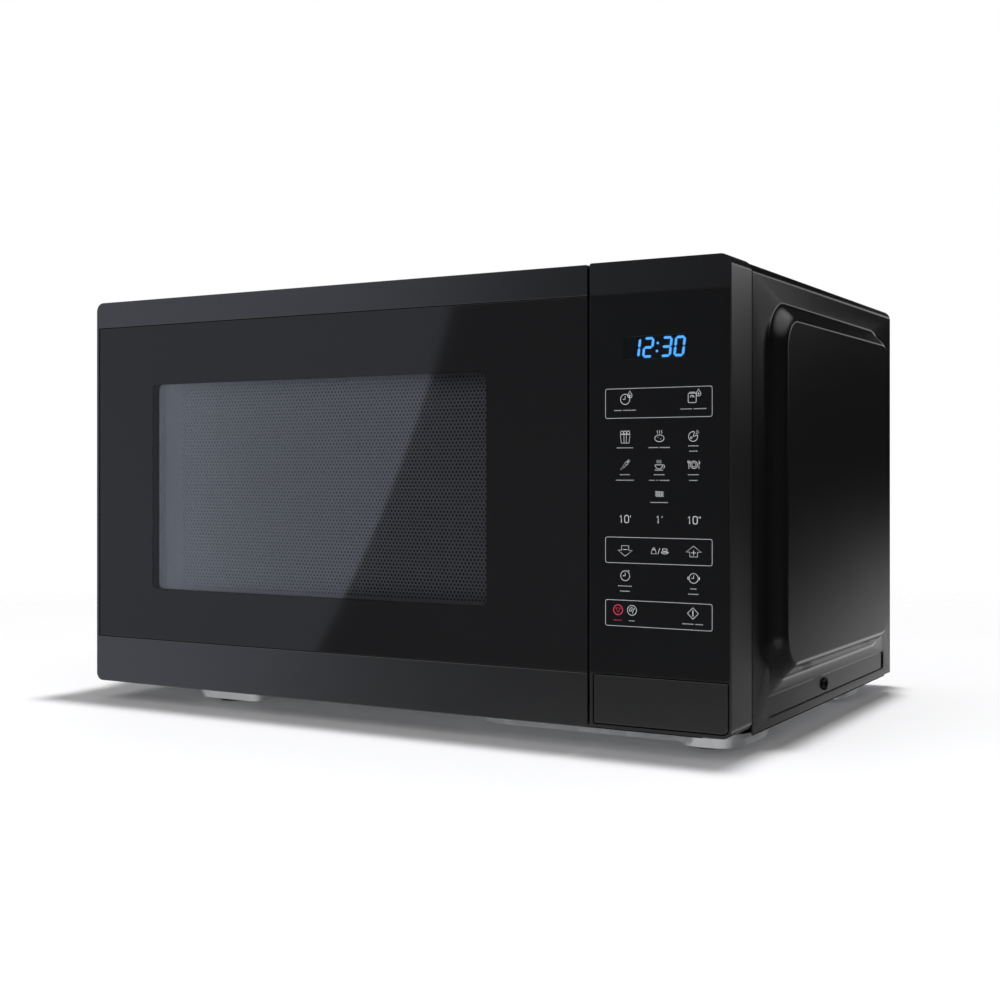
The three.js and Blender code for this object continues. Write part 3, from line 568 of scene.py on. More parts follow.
def copy_of(node):
    """A CAD node's mesh, merged, with its flat faces made whole, ready to be finished."""
    bm = bmesh.new()
    bm.from_mesh(frame["nodes"][node].data)
    bmesh.ops.remove_doubles(bm, verts=bm.verts, dist=5e-6)
    bmesh.ops.dissolve_limit(
        bm, angle_limit=math.radians(1.5), verts=bm.verts, edges=bm.edges, use_dissolve_boundaries=False
    )
    return bm


def join(*parts):
    """Several closed meshes in one."""
    whole = bmesh.new()
    for part in parts:
        scratch = bpy.data.meshes.new("scratch")
        part.to_mesh(scratch)
        part.free()
        whole.from_mesh(scratch)
        bpy.data.meshes.remove(scratch)
    return whole


def loose_object(name, bm):
    mesh = bpy.data.meshes.new(name)
    bm.to_mesh(mesh)
    bm.free()
    obj = bpy.data.objects.new(name, mesh)
    bpy.context.scene.collection.objects.link(obj)
    return obj


def evaluated_mesh(obj):
    """The mesh that an object shows, with its modifiers or its curve worked out."""
    bpy.context.view_layer.update()
    graph = bpy.context.evaluated_depsgraph_get()
    return bpy.data.meshes.new_from_object(obj.evaluated_get(graph), depsgraph=graph)


def freeze(obj):
    """Applies every modifier."""
    mesh, old = evaluated_mesh(obj), obj.data
    obj.modifiers.clear()
    obj.data = mesh
    bpy.data.meshes.remove(old)
    obj.data.name = obj.name


def modifier(obj, kind, **settings):
    made = obj.modifiers.new(kind.title(), kind)
    for key, value in settings.items():
        setattr(made, key, value)
    return made


def finish(name, bm, body, slot, nodes=(), paint=None, cuts=(), edge=0.0, wall=0.0, angle=32, segments=2):
    """Turns a bmesh into a finished piece that rides on a body.

    cuts are meshes to take out of it, wall is the thickness given to an open sheet, edge is
    the rounding of its sharp edges, in metres, and angle is where an edge counts as sharp.
    """
    obj = loose_object(name, bm)
    cutters = [loose_object(f"{name}_cutter", cut) for cut in cuts]
    if wall:
        modifier(obj, "SOLIDIFY", thickness=wall, offset=-1, use_even_offset=True)
    for cutter in cutters:
        modifier(obj, "BOOLEAN", operation="DIFFERENCE", solver="EXACT", object=cutter)
    if edge:
        modifier(
            obj, "BEVEL", width=edge, segments=segments, limit_method="ANGLE",
            angle_limit=math.radians(angle), use_clamp_overlap=True, miter_outer="MITER_ARC",
        )
    freeze(obj)
    if not obj.data.polygons:
        raise RuntimeError(f"{name} came out empty")
    for cutter in cutters:
        bpy.data.objects.remove(cutter)
    obj.data.shade_smooth()
    obj.data.set_sharp_from_angle(angle=math.radians(40))
    modifier(obj, "WEIGHTED_NORMAL", keep_sharp=True, weight=80)
    freeze(obj)
    obj.data.materials.clear()
    obj.data.materials.append(palette()[paint or slot])
    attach(obj, body)
    if nodes:
        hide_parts(*nodes)
    return obj


def outline(bm, u, v, radii, segments=8):
    """A flat face at w = 0 with rounded corners, from the low corner anticlockwise."""
    others = set(bm.faces)
    made = bmesh.ops.create_grid(bm, x_segments=1, y_segments=1, size=0.5)["verts"]
    bmesh.ops.scale(bm, vec=(u[1] - u[0], v[1] - v[0], 1), verts=made)
    centre = Vector(((u[0] + u[1]) / 2, (v[0] + v[1]) / 2, 0))
    bmesh.ops.translate(bm, vec=centre, verts=made)
    order = {(False, False): 0, (True, False): 1, (True, True): 2, (False, True): 3}
    corners = {order[(v_.co.x > centre.x, v_.co.y > centre.y)]: v_ for v_ in made}
    for index, radius in enumerate(radii):
        if radius:
            bmesh.ops.bevel(
                bm, geom=[corners[index]], offset=radius, offset_type="OFFSET", affect="VERTICES",
                segments=segments, profile=0.5, material=-1,
            )
    return (set(bm.faces) - others).pop()


def raise_hill(bm, face, height, ramp, steps=7):
    """Presses a face up with a ramp that leaves the sheet and meets its plateau smoothly."""
    rise = [3 * (i / steps) ** 2 - 2 * (i / steps) ** 3 for i in range(steps + 1)]
    for low, high in zip(rise, rise[1:]):
        bmesh.ops.inset_region(
            bm, faces=[face], thickness=ramp / steps, depth=(high - low) * height,
            use_even_offset=True, use_boundary=True,
        )


def pressed_sheet(u, v, radii, hills=(), holes=()):
    """A flat sheet in (u, v) with pressed hills and punched holes.

    Each hill is (u, v, corner, height, ramp), by its foot; each hole is (u, v, corner).
    """
    bm = bmesh.new()
    sheet = outline(bm, u, v, radii)
    rims = list(sheet.edges)
    bm.faces.remove(sheet)
    tops = []
    for hu, hv, corner, height, ramp in hills:
        face = outline(bm, hu, hv, [corner] * 4, 10)
        rims += list(face.edges)
        tops.append((face, height, ramp))
    for hu, hv, corner in holes:
        hole = outline(bm, hu, hv, [corner] * 4, 5)
        rims += list(hole.edges)
        bm.faces.remove(hole)
    bmesh.ops.triangle_fill(bm, edges=rims, use_beauty=True, normal=(0, 0, 1))
    for face, height, ramp in tops:
        raise_hill(bm, face, height, ramp)
    return bm


# A sheet drawn in (u, v) and pressed along w, stood up against the oven's side or rear.
AGAINST = {
    "side": Matrix(((0, 0, 1, 0), (1, 0, 0, 0), (0, 1, 0, 0), (0, 0, 0, 1))),
    "rear": Matrix(((-1, 0, 0, 0), (0, 0, 1, 0), (0, 1, 0, 0), (0, 0, 0, 1))),
}


def stand(bm, face, level):
    offset = Vector((level, 0, 0)) if face == "side" else Vector((0, level, 0))
    bmesh.ops.transform(bm, matrix=Matrix.Translation(offset) @ AGAINST[face], verts=bm.verts)


def outward(bm, centre):
    """Points an open sheet's faces away from a point."""
    bmesh.ops.recalc_face_normals(bm, faces=bm.faces)
    lean = sum((f.calc_center_median() - Vector(centre)).dot(f.normal) * f.calc_area() for f in bm.faces)
    if lean < 0:
        bmesh.ops.reverse_faces(bm, faces=bm.faces)


# ---- Casing ---------------------------------------------------------------------------------

BULGE = {"depth": (53.5, 283.5), "z": (31.5, 240.9), "corner": 27.5, "height": 8}


def casing_wrap():
    """One bent sheet: two embossed sides, the top, and a turned-in rear edge."""
    c = casing()
    front, back = WRAP_LOW.y + 0.5 * MM, WRAP_HIGH.y
    bottom, top = WRAP_LOW.z, WRAP_HIGH.z
    foot = [behind(d) for d in BULGE["depth"]]
    bulge = (foot, [z * MM for z in BULGE["z"]], BULGE["corner"] * MM, BULGE["height"] * MM, c.bulge_ramp)
    channel = ([behind(54.7), behind(286.8)], [14.2 * MM, 26.5 * MM], 2.4 * MM, -0.8 * MM, 0.9 * MM)
    bm = pressed_sheet((front, back), (bottom, top - c.bend), [0, 0, 0, 0], [bulge, channel])
    stand(bm, "side", SIDE)
    rim = [e for e in bm.edges if all(abs(v.co.z - (top - c.bend)) < 1e-6 for v in e.verts)]
    bent = bmesh.ops.spin(
        bm, geom=rim, cent=(SIDE - c.bend, 0, top - c.bend), axis=(0, -1, 0), dvec=(0, 0, 0),
        angle=math.pi / 2, steps=8, use_merge=False, use_duplicate=False,
    )["geom_last"]
    edges = [g for g in bent if isinstance(g, bmesh.types.BMEdge)]
    flat = bmesh.ops.extrude_edge_only(bm, edges=edges)["geom"]
    for v in [g for g in flat if isinstance(g, bmesh.types.BMVert)]:
        v.co.x = 0
    bmesh.ops.mirror(bm, geom=bm.verts[:] + bm.edges[:] + bm.faces[:], axis="X", merge_dist=1e-5)
    bmesh.ops.remove_doubles(bm, verts=bm.verts, dist=1e-6)
    outward(bm, (0, (front + back) / 2, (bottom + top) / 2))
    rear = [e for e in bm.edges if e.is_boundary and all(abs(v.co.y - back) < 1e-6 for v in e.verts)]
    turned_in = bmesh.ops.extrude_edge_only(bm, edges=rear)["geom"]
    inner = [g for g in turned_in if isinstance(g, bmesh.types.BMVert)]
    shrink = (1 - c.flange / SIDE, 1, 1 - c.flange / (top - bottom))
    bmesh.ops.scale(bm, vec=shrink, space=Matrix.Translation((0, 0, -bottom)), verts=inner)
    return finish("casing_wrap", bm, "root", "black_paint", ["cabinet_wrap"], edge=0.3 * MM, wall=c.sheet)


def rear_panel():
    """The galvanised back: a deep bulge for the cavity, and the air inlet's slots."""
    c = casing()
    low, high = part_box("rear_plate")
    level = low.y + c.sheet
    hill = ([-104 * MM, 195 * MM], [35 * MM, 233 * MM], 24 * MM, high.y - level, 7 * MM)
    slots = [([-202 * MM, -128 * MM], [(62 + 8 * i) * MM, (65.6 + 8 * i) * MM], 1.7 * MM) for i in range(9)]
    bm = pressed_sheet((-high.x, -low.x), (low.z, high.z), [0, 0, 5 * MM, 5 * MM], [hill], slots)
    stand(bm, "rear", level)
    outward(bm, (0, level - 0.3, (low.z + high.z) / 2))
    return finish("rear_panel", bm, "root", "galvanised", ["rear_plate"], wall=c.sheet)


def base_pan():
    """The pressed base, and the short wall that rises round it to the casing's lower edge."""
    bm = copy_of("base_plate")
    finish("base_pan", bm, "root", "galvanised", ["base_plate"], edge=0.6 * MM, angle=25, segments=3)
    low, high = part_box("base_plate")
    level = 7.5 * MM
    top = WRAP_LOW.z - 0.1 * MM
    wall = slab((low.x, low.y, level), (high.x, high.y, top), Z, [4 * MM, 20 * MM, 0, 0], 12)
    ends = [f for f in wall.faces if abs(f.normal.z) > 0.9]
    bmesh.ops.delete(wall, geom=ends, context="FACES")
    return finish("base_wall", wall, "root", "galvanised", wall=casing().sheet)


def rubber_foot(node):
    low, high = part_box(node)
    x, y = (low.x + high.x) / 2, (low.y + high.y) / 2
    r = (high.x - low.x) / 2
    seat = 1.65 * MM
    profile = [
        (0, 0.25 * MM), (r * 0.45, 0.25 * MM), (r * 0.5, 0), (r * 0.86, 0), (r * 0.95, 0.15 * MM),
        (r, 0.55 * MM), (r, seat - 0.25 * MM), (r * 0.97, seat),
        (3.2 * MM, seat), (3.2 * MM, seat + 1.5 * MM),
        (4.5 * MM, seat + 1.6 * MM), (4.3 * MM, seat + 2.2 * MM), (2.9 * MM, high.z), (0, high.z),
    ]
    return finish(f"rubber_{node}", turned(profile, (x, y, 0)), "root", "rubber", [node])


def screw(node, axis, sign):
    """A pan-head screw with a cross recess."""
    low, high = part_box(node)
    centre = (low + high) / 2
    face = high[axis] if sign > 0 else low[axis]
    reach = high[axis] - low[axis]
    centre[axis] = 0
    head = 2.4 * MM
    profile = [
        (0, 0), (1.6 * MM, -0.06 * MM), (2.7 * MM, -0.3 * MM), (3.5 * MM, -0.85 * MM), (3.9 * MM, -1.6 * MM),
        (3.9 * MM, -head + 0.15 * MM), (3.75 * MM, -head), (2 * MM, -head), (2 * MM, -reach), (0, -reach),
    ]
    bm = turned([(r, h * sign) for r, h in profile], (0, 0, 0), axis, 32)
    place = centre.copy()
    place[axis] = face
    bmesh.ops.translate(bm, vec=place, verts=bm.verts)
    arms = []
    for turn in (0, math.pi / 2):
        arm = slab((-2.1 * MM, -0.42 * MM, -1.5 * MM), (2.1 * MM, 0.42 * MM, 1 * MM), Z)
        spin = Matrix.Rotation(turn + 0.4, 4, "Z")
        quarter = math.pi / 2 * sign
        tip = Matrix.Rotation(quarter, 4, "Y") if axis == X else Matrix.Rotation(-quarter, 4, "X")
        bmesh.ops.transform(arm, matrix=Matrix.Translation(place) @ tip @ spin, verts=arm.verts)
        arms.append(arm)
    return finish(f"{node}_head", bm, "root", "black_screw", [node], cuts=arms)


def gland():
    low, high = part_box("cord_gland")
    x, z = (low.x + high.x) / 2, (low.z + high.z) / 2
    outer = (high.x - low.x) / 2
    bore, neck = 3.6 * MM, 6 * MM
    front, back = low.y, high.y
    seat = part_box("rear_plate")[0].y + casing().sheet
    profile = [
        (bore, back), (outer - 2 * MM, back), (outer - 0.6 * MM, back - 1.2 * MM), (outer, back - 3 * MM),
        (outer, seat + 0.5 * MM), (neck, seat + 0.5 * MM), (neck, front), (bore, front), (bore, back),
    ]
    bm = turned(profile, (x, 0, z), Y, 40)
    return finish("cord_bushing", bm, "root", "satin_black", ["cord_gland"], edge=0.25 * MM)


def spacer():
    low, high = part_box("rear_spacer")
    body = slab(low, high, Y, [9 * MM] * 4)
    pockets = []
    count = 5
    step = (high.x - low.x) / count
    for i in range(count):
        left = low.x + i * step + (3.4 * MM if i == 0 else 1.4 * MM)
        right = low.x + (i + 1) * step - (3.4 * MM if i == count - 1 else 1.4 * MM)
        cut_low = (left, low.y - 1 * MM, low.z + 2.4 * MM)
        cut_high = (right, high.y - 3 * MM, high.z - 2.4 * MM)
        pockets.append(slab(cut_low, cut_high, Y, [1.5 * MM] * 4, 3))
    return finish(
        "wall_spacer", body, "root", "satin_black", ["rear_spacer"], cuts=pockets, edge=0.6 * MM, segments=3
    )


# ---- Door -----------------------------------------------------------------------------------


def window_span():
    """The printed window's corners in x and z, by its margins from the glass's edges."""
    low = (GLASS_LOW.x + 45.9 * MM, GLASS_LOW.z + 32.1 * MM)
    high = (GLASS_HIGH.x - 62.4 * MM, GLASS_HIGH.z - 37.5 * MM)
    return low, high


def opening_behind_glass(front, back, margin=6.5 * MM):
    (left, bottom), (right, top) = window_span()
    low = (left - margin, front, bottom - margin)
    high = (right + margin, back, top + margin)
    return slab(low, high, Y, [6 * MM] * 4)


def hinge_slots(back, reach):
    """Cutters for the slots that the two hinge arms swing in."""
    slots = []
    for node in ("lower_hinge", "upper_hinge"):
        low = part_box(node)[0]
        arm = 22 * MM if node == "lower_hinge" else 246 * MM
        slots.append(
            slab((DOOR_LOW.x - 2 * MM, behind(5.9), arm - 2.4 * MM), (low.x + reach, back, arm + 2.4 * MM))
        )
    return slots


def door_surround():
    """The moulded door frame: bands above and below the glass, and a rim round it."""
    low, high = DOOR_LOW, DOOR_HIGH
    body = slab(low, high, Y, [5 * MM, 1 * MM, 1 * MM, 5.5 * MM], 10)
    wall = 2.2 * MM
    rear_corner = [
        e for e in body.edges
        if all(v.co.x < low.x + 1e-5 and v.co.y > high.y - 1e-5 for v in e.verts)
    ]
    if rear_corner:
        bmesh.ops.bevel(
            body, geom=rear_corner, offset=4.3 * MM, offset_type="OFFSET", affect="EDGES",
            segments=4, profile=0.5, material=-1,
        )
    glass_seat = slab(
        (low.x + 2.25 * MM, low.y - 1 * MM, GLASS_LOW.z - 0.35 * MM),
        (high.x + 1 * MM, low.y + 3.7 * MM, GLASS_HIGH.z + 0.35 * MM),
    )
    hollow_low = (low.x + wall + 2 * MM, low.y + 5.8 * MM, low.z + wall)
    hollow = slab(hollow_low, (high.x - wall, high.y + 1 * MM, high.z - wall), Y, [3 * MM] * 4, 4)
    cuts = [glass_seat, hollow, opening_behind_glass(low.y - 1 * MM, low.y + 9 * MM, 21 * MM)]
    cuts += hinge_slots(high.y + 1 * MM, 20 * MM)
    return finish(
        "door_surround", body, "door", "satin_black", ["door_frame"], cuts=cuts,
        edge=door().moulded_edge, segments=3,
    )


def front_glass():
    body = slab(GLASS_LOW, GLASS_HIGH, Y, [1 * MM] * 4, 4)
    return finish("front_glass", body, "door", "printed_glass", ["door_glass"], edge=0.35 * MM, segments=3)


ROW_SHARE = 0.866  # a row's height over the pitch, so that a hole's six neighbours are equally near
PLAIN_MARGIN = 10 * MM  # the screen's plain edge seen at the window's left


def screen_cell(pitch, width):
    """One slanted cell of the screen, with a square hole set on its point."""
    bm = bmesh.new()
    half, hole = pitch / 2, width / 2
    row = half * ROW_SHARE
    rim = [(-half - half / 2, -row), (half - half / 2, -row), (half + half / 2, row), (-half + half / 2, row)]
    outer = [bm.verts.new((x, 0, z)) for x, z in rim]
    turn = [-2.2, -0.72, 0.94, 2.42]
    inner = [bm.verts.new((hole * math.cos(a), 0, hole * math.sin(a))) for a in turn]
    for i in range(4):
        j = (i + 1) % 4
        bm.faces.new((outer[i], outer[j], inner[j], inner[i]))
    return bm


def perforated_screen():
    """The door screen: staggered rows of holes in a plain border, as one thin sheet."""
    d = door()
    low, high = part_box("door_screen")
    (u0, v0), (u1, v1) = window_span()
    u0 += PLAIN_MARGIN
    row = d.hole_pitch * ROW_SHARE
    across = int((u1 - u0) / d.hole_pitch)
    pairs = int((v1 - v0) / (2 * row))
    field = loose_object("screen_field", screen_cell(d.hole_pitch, d.hole_size))
    steps = [
        (across, (d.hole_pitch, 0, 0)),
        (2, (d.hole_pitch / 2, 0, row)),
        (pairs, (0, 0, 2 * row)),
    ]
    for count, offset in steps:
        modifier(
            field, "ARRAY", count=count, use_relative_offset=False, use_constant_offset=True,
            constant_offset_displace=offset, use_merge_vertices=True, merge_threshold=1e-6,
        )
    freeze(field)
    bm = bmesh.new()
    bm.from_mesh(field.data)
    bpy.data.objects.remove(field)
    bmesh.ops.remove_doubles(bm, verts=bm.verts, dist=1e-6)
    centre = Vector(((u0 + u1) / 2, low.y, (v0 + v1) / 2))
    size = Vector(((across - 0.5) * d.hole_pitch, 0, (2 * pairs - 1) * row))
    bmesh.ops.translate(bm, vec=centre - size / 2, verts=bm.verts)
    rim = [e for e in bm.edges if e.is_boundary and e.calc_length() > d.hole_size]
    border = slab((low.x, low.y, low.z), (high.x, low.y + 1 * MM, high.z))
    keep = [v.co.copy() for v in border.verts if v.co.y < low.y + 1e-6]
    border.free()
    keep.sort(key=lambda p: math.atan2(p.z - centre.z, p.x - centre.x))
    corners = [bm.verts.new(p) for p in keep]
    rim += [bm.edges.new((corners[i], corners[(i + 1) % 4])) for i in range(4)]
    bmesh.ops.triangle_fill(bm, edges=rim, use_beauty=True, normal=(0, -1, 0))
    bmesh.ops.recalc_face_normals(bm, faces=bm.faces)
    if sum(f.normal.y * f.calc_area() for f in bm.faces) > 0:
        bmesh.ops.reverse_faces(bm, faces=bm.faces)
    return finish(
        "perforated_screen", bm, "door", "black_paint", ["door_screen"], "screen_paint", wall=0.5 * MM
    )


def choke_cover():
    low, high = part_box("door_choke_cover")
    body = slab(low, high, Y, [4 * MM] * 4, 6)
    cuts = [opening_behind_glass(low.y - 1 * MM, high.y + 1 * MM)]
    hooks_low, hooks_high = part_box("latch_hooks")
    for base in (46.5, 200):
        cut_low = (hooks_low.x - 2.5 * MM, low.y - 1 * MM, (base - 7) * MM)
        cut_high = (hooks_high.x + 3 * MM, high.y + 1 * MM, (base + 17.5) * MM)
        cuts.append(slab(cut_low, cut_high, Y, [1 * MM] * 4, 3))
    cuts += hinge_slots(high.y + 1 * MM, 20 * MM)
    step = slab(
        (low.x + 9 * MM, high.y - 0.8 * MM, low.z + 9 * MM),
        (low.x + 10.2 * MM, high.y + 1 * MM, high.z - 9 * MM),
    )
    return finish(
        "choke_cover", body, "door", "grey_plastic", ["door_choke_cover"], cuts=cuts + [step],
        edge=0.7 * MM, segments=3,
    )


def dressed_copies():
    """CAD pieces whose shape is right and whose edges want rounding."""
    pieces = [
        ("steel_door_pan", "door_panel", "door", "grey_enamel", 0.3),
        ("hook_plate", "latch_hooks", "latch", "white_plastic", 0.4),
        ("cavity_front_plate", "front_plate", "root", "grey_enamel", 0.2),
        ("latch_lever", "release_lever", "lever", "white_plastic", 0.4),
        ("interlock_bracket", "latch_bracket", "root", "white_plastic", 0.4),
        ("upper_hinge_bracket", "upper_hinge", "root", "galvanised", 0.3),
        ("lower_hinge_bracket", "lower_hinge", "root", "galvanised", 0.3),
    ]
    for name, node, body, slot, edge in pieces:
        finish(name, copy_of(node), body, slot, [node], edge=edge * MM, angle=28)


# ---- Control side ---------------------------------------------------------------------------


def bezel():
    low, high = BEZEL_LOW, BEZEL_HIGH
    wall = 2.2 * MM
    body = slab(low, (high.x, high.y - 0.5 * MM, high.z), Y, [1 * MM, 5 * MM, 6 * MM, 1 * MM], 10)
    overlay_low, overlay_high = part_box("touch_panel")
    button_low, button_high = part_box("release_button")
    gap = 0.7 * MM
    hollow = slab(
        (low.x + wall, low.y + 3.4 * MM, low.z + wall), (high.x - wall, high.y + 1 * MM, high.z - wall),
        Y, [0.5 * MM, 3 * MM, 4 * MM, 0.5 * MM], 5,
    )
    seat = slab(
        (overlay_low.x - 0.3 * MM, low.y - 1 * MM, overlay_low.z - 0.3 * MM),
        (overlay_high.x + 0.3 * MM, low.y + 1.1 * MM, overlay_high.z + 0.3 * MM),
    )
    button_hole = slab(
        (button_low.x - gap, low.y - 1 * MM, button_low.z - gap),
        (button_high.x + gap, behind(18), button_high.z + gap),
        Y, [1.5 * MM, 3.6 * MM, 1.5 * MM, 1.5 * MM], 5,
    )
    lens_low, lens_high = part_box("display_lens")
    display_hole = slab(
        (lens_low.x - 2 * MM, low.y - 1 * MM, lens_low.z - 2 * MM),
        (lens_high.x + 2 * MM, low.y + 9 * MM, lens_high.z + 2 * MM),
    )
    notch = slab(
        (low.x - 1 * MM, behind(28.1), low.z + wall),
        (low.x + wall + 0.5 * MM, high.y + 1 * MM, high.z - wall),
    )
    return finish(
        "control_surround", body, "root", "satin_black", ["control_bezel"],
        cuts=[hollow, seat, button_hole, display_hole, notch], edge=door().moulded_edge, segments=3,
    )


def overlay():
    low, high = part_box("touch_panel")
    lens_low, lens_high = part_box("display_lens")
    gap = 0.2 * MM
    body = slab(low, high, Y, [0.8 * MM] * 4, 4)
    hole = slab(
        (lens_low.x - gap, low.y - 1 * MM, lens_low.z - gap),
        (lens_high.x + gap, high.y + 1 * MM, lens_high.z + gap),
    )
    return finish("touch_overlay", body, "root", "gloss_black", ["touch_panel"], cuts=[hole], edge=0.12 * MM)


def lens():
    low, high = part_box("display_lens")
    body = slab(low, high, Y, [0.4 * MM] * 4, 3)
    return finish("display_window", body, "root", "smoked_lens", ["display_lens"], edge=0.1 * MM)


def display_unit():
    """The display behind its window: a dark face and a stepped housing."""
    low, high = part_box("display_module")
    face = slab((low.x + 1 * MM, behind(1.5), low.z + 1 * MM), (high.x - 1 * MM, low.y, high.z - 1 * MM))
    housing = slab(low, high, Y, [1 * MM] * 4, 3)
    bm = join(face, housing)
    return finish(
        "display_unit", bm, "root", "black_switch", ["display_module"], "display_back", edge=0.2 * MM
    )


SEGMENTS = {  # which of the seven bars each digit lights, from the top clockwise, middle last
    "0": "abcdef", "1": "bc", "2": "abged", "3": "abgcd",
}
BARS = {  # each bar's two ends, in halves of the digit's width and height
    "a": ((-1, 1), (1, 1)), "b": ((1, 1), (1, 0)), "c": ((1, 0), (1, -1)), "d": ((-1, -1), (1, -1)),
    "e": ((-1, -1), (-1, 0)), "f": ((-1, 0), (-1, 1)), "g": ((-1, 0), (1, 0)),
}


def display_bar(start, end, thick, depth):
    """One bar of a digit: a flat six-sided rod between two points."""
    a, b = Vector(start), Vector(end)
    along = b - a
    reach = along.length / 2 - thick * 0.12
    bar = slab((-thick / 2, 0, -reach), (thick / 2, depth, reach))
    ends = [e for e in bar.edges if abs(e.verts[0].co.y - e.verts[1].co.y) > depth * 0.9]
    round_edges(bar, ends, thick * 0.46, 1)
    angle = math.atan2(along.x, along.z)
    middle = (a + b) / 2
    spin = Matrix.Translation(middle) @ Matrix.Rotation(angle, 4, "Y")
    bmesh.ops.transform(bar, matrix=spin, verts=bar.verts)
    return bar


def digits():
    """Four slanted digits, the lit bars apart from the unlit ones."""
    low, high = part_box("display_lens")
    tall = panel().digit_height
    wide = tall * 0.5
    thick = tall * 0.14
    lean = 0.12
    slant = Matrix(((1, 0, lean, 0), (0, 1, 0, 0), (0, 0, 1, 0), (0, 0, 0, 1)))
    plane = behind(1.05)
    middle_z = (low.z + high.z) / 2
    right = high.x - 4.9 * MM
    places = [right - back * MM for back in (25.1, 17.6, 7.3, 0)]
    lit_bars, dark_bars = [], []
    for place, digit in zip(places, "1230"):
        for key, (p, q) in BARS.items():
            ends = [(s * wide / 2, 0, t * tall / 2) for s, t in (p, q)]
            bar = display_bar(ends[0], ends[1], thick, 0.12 * MM)
            bmesh.ops.transform(bar, matrix=slant, verts=bar.verts)
            bmesh.ops.translate(bar, vec=(place, plane, middle_z), verts=bar.verts)
            (lit_bars if key in SEGMENTS[digit] else dark_bars).append(bar)
    colon = (places[1] + places[2]) / 2
    for height in (-0.22, 0.22):
        dot = slab((-0.6 * MM, 0, -0.6 * MM), (0.6 * MM, 0.12 * MM, 0.6 * MM), Y, [0.25 * MM] * 4, 2)
        place = (colon + lean * height * tall, plane, middle_z + height * tall)
        bmesh.ops.translate(dot, vec=place, verts=dot.verts)
        lit_bars.append(dot)
    finish("display_lit_bars", join(*lit_bars), "root", "smoked_lens", paint="glow")
    finish("display_unlit_bars", join(*dark_bars), "root", "smoked_lens", paint="unlit")


def button():
    low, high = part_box("release_button")
    back = behind(12)
    body = slab(low, (high.x, back, high.z), Y, [1 * MM, 3 * MM, 1 * MM, 1 * MM], 6)
    wall = 1.8 * MM
    hollow = slab(
        (low.x + wall, low.y + 2.4 * MM, low.z + wall),
        (high.x - wall, back + 1 * MM, high.z - wall),
    )
    finish(
        "release_bar", body, "button", "satin_black", ["release_button"], cuts=[hollow],
        edge=0.5 * MM, segments=3,
    )
    prong = slab((145.5 * MM, low.y + 2 * MM, 28 * MM), (149 * MM, high.y, 33 * MM))
    finish("release_prong", prong, "button", "satin_black", edge=0.4 * MM)


def coil(radius, wire, start, length, turns):
    """A round wire wound about a line along y, from a start on that line."""
    bm = bmesh.new()
    section = bmesh.ops.create_circle(bm, cap_ends=True, segments=8, radius=wire)["verts"]
    bmesh.ops.translate(bm, vec=(radius, 0, 0), verts=section)
    steps = turns * 16
    bmesh.ops.spin(
        bm, geom=bm.verts[:] + bm.edges[:] + bm.faces[:], cent=(0, 0, 0), axis=(0, 1, 0),
        dvec=(0, length / steps, 0), angle=turns * math.tau, steps=steps,
        use_merge=False, use_duplicate=False,
    )
    bmesh.ops.translate(bm, vec=start, verts=bm.verts)
    bmesh.ops.recalc_face_normals(bm, faces=bm.faces)
    return bm


def return_spring():
    """The bar's spring, in two halves that slide into each other as the bar is pressed."""
    low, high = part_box("button_spring")
    wire = 0.45 * MM
    x, z = (low.x + high.x) / 2, (low.z + high.z) / 2
    middle = (low.y + high.y) / 2
    rear = coil((high.x - low.x) / 2 - wire, wire, (x, middle, z), high.y - wire - middle, 3)
    finish("spring_rear_half", rear, "root", "spring_steel", ["button_spring"])
    front = coil(2.9 * MM, wire, (x, low.y + wire, z), middle + 1 * MM - low.y - wire, 3)
    finish("spring_front_half", front, "button", "spring_steel")


# ---- Printed marks --------------------------------------------------------------------------


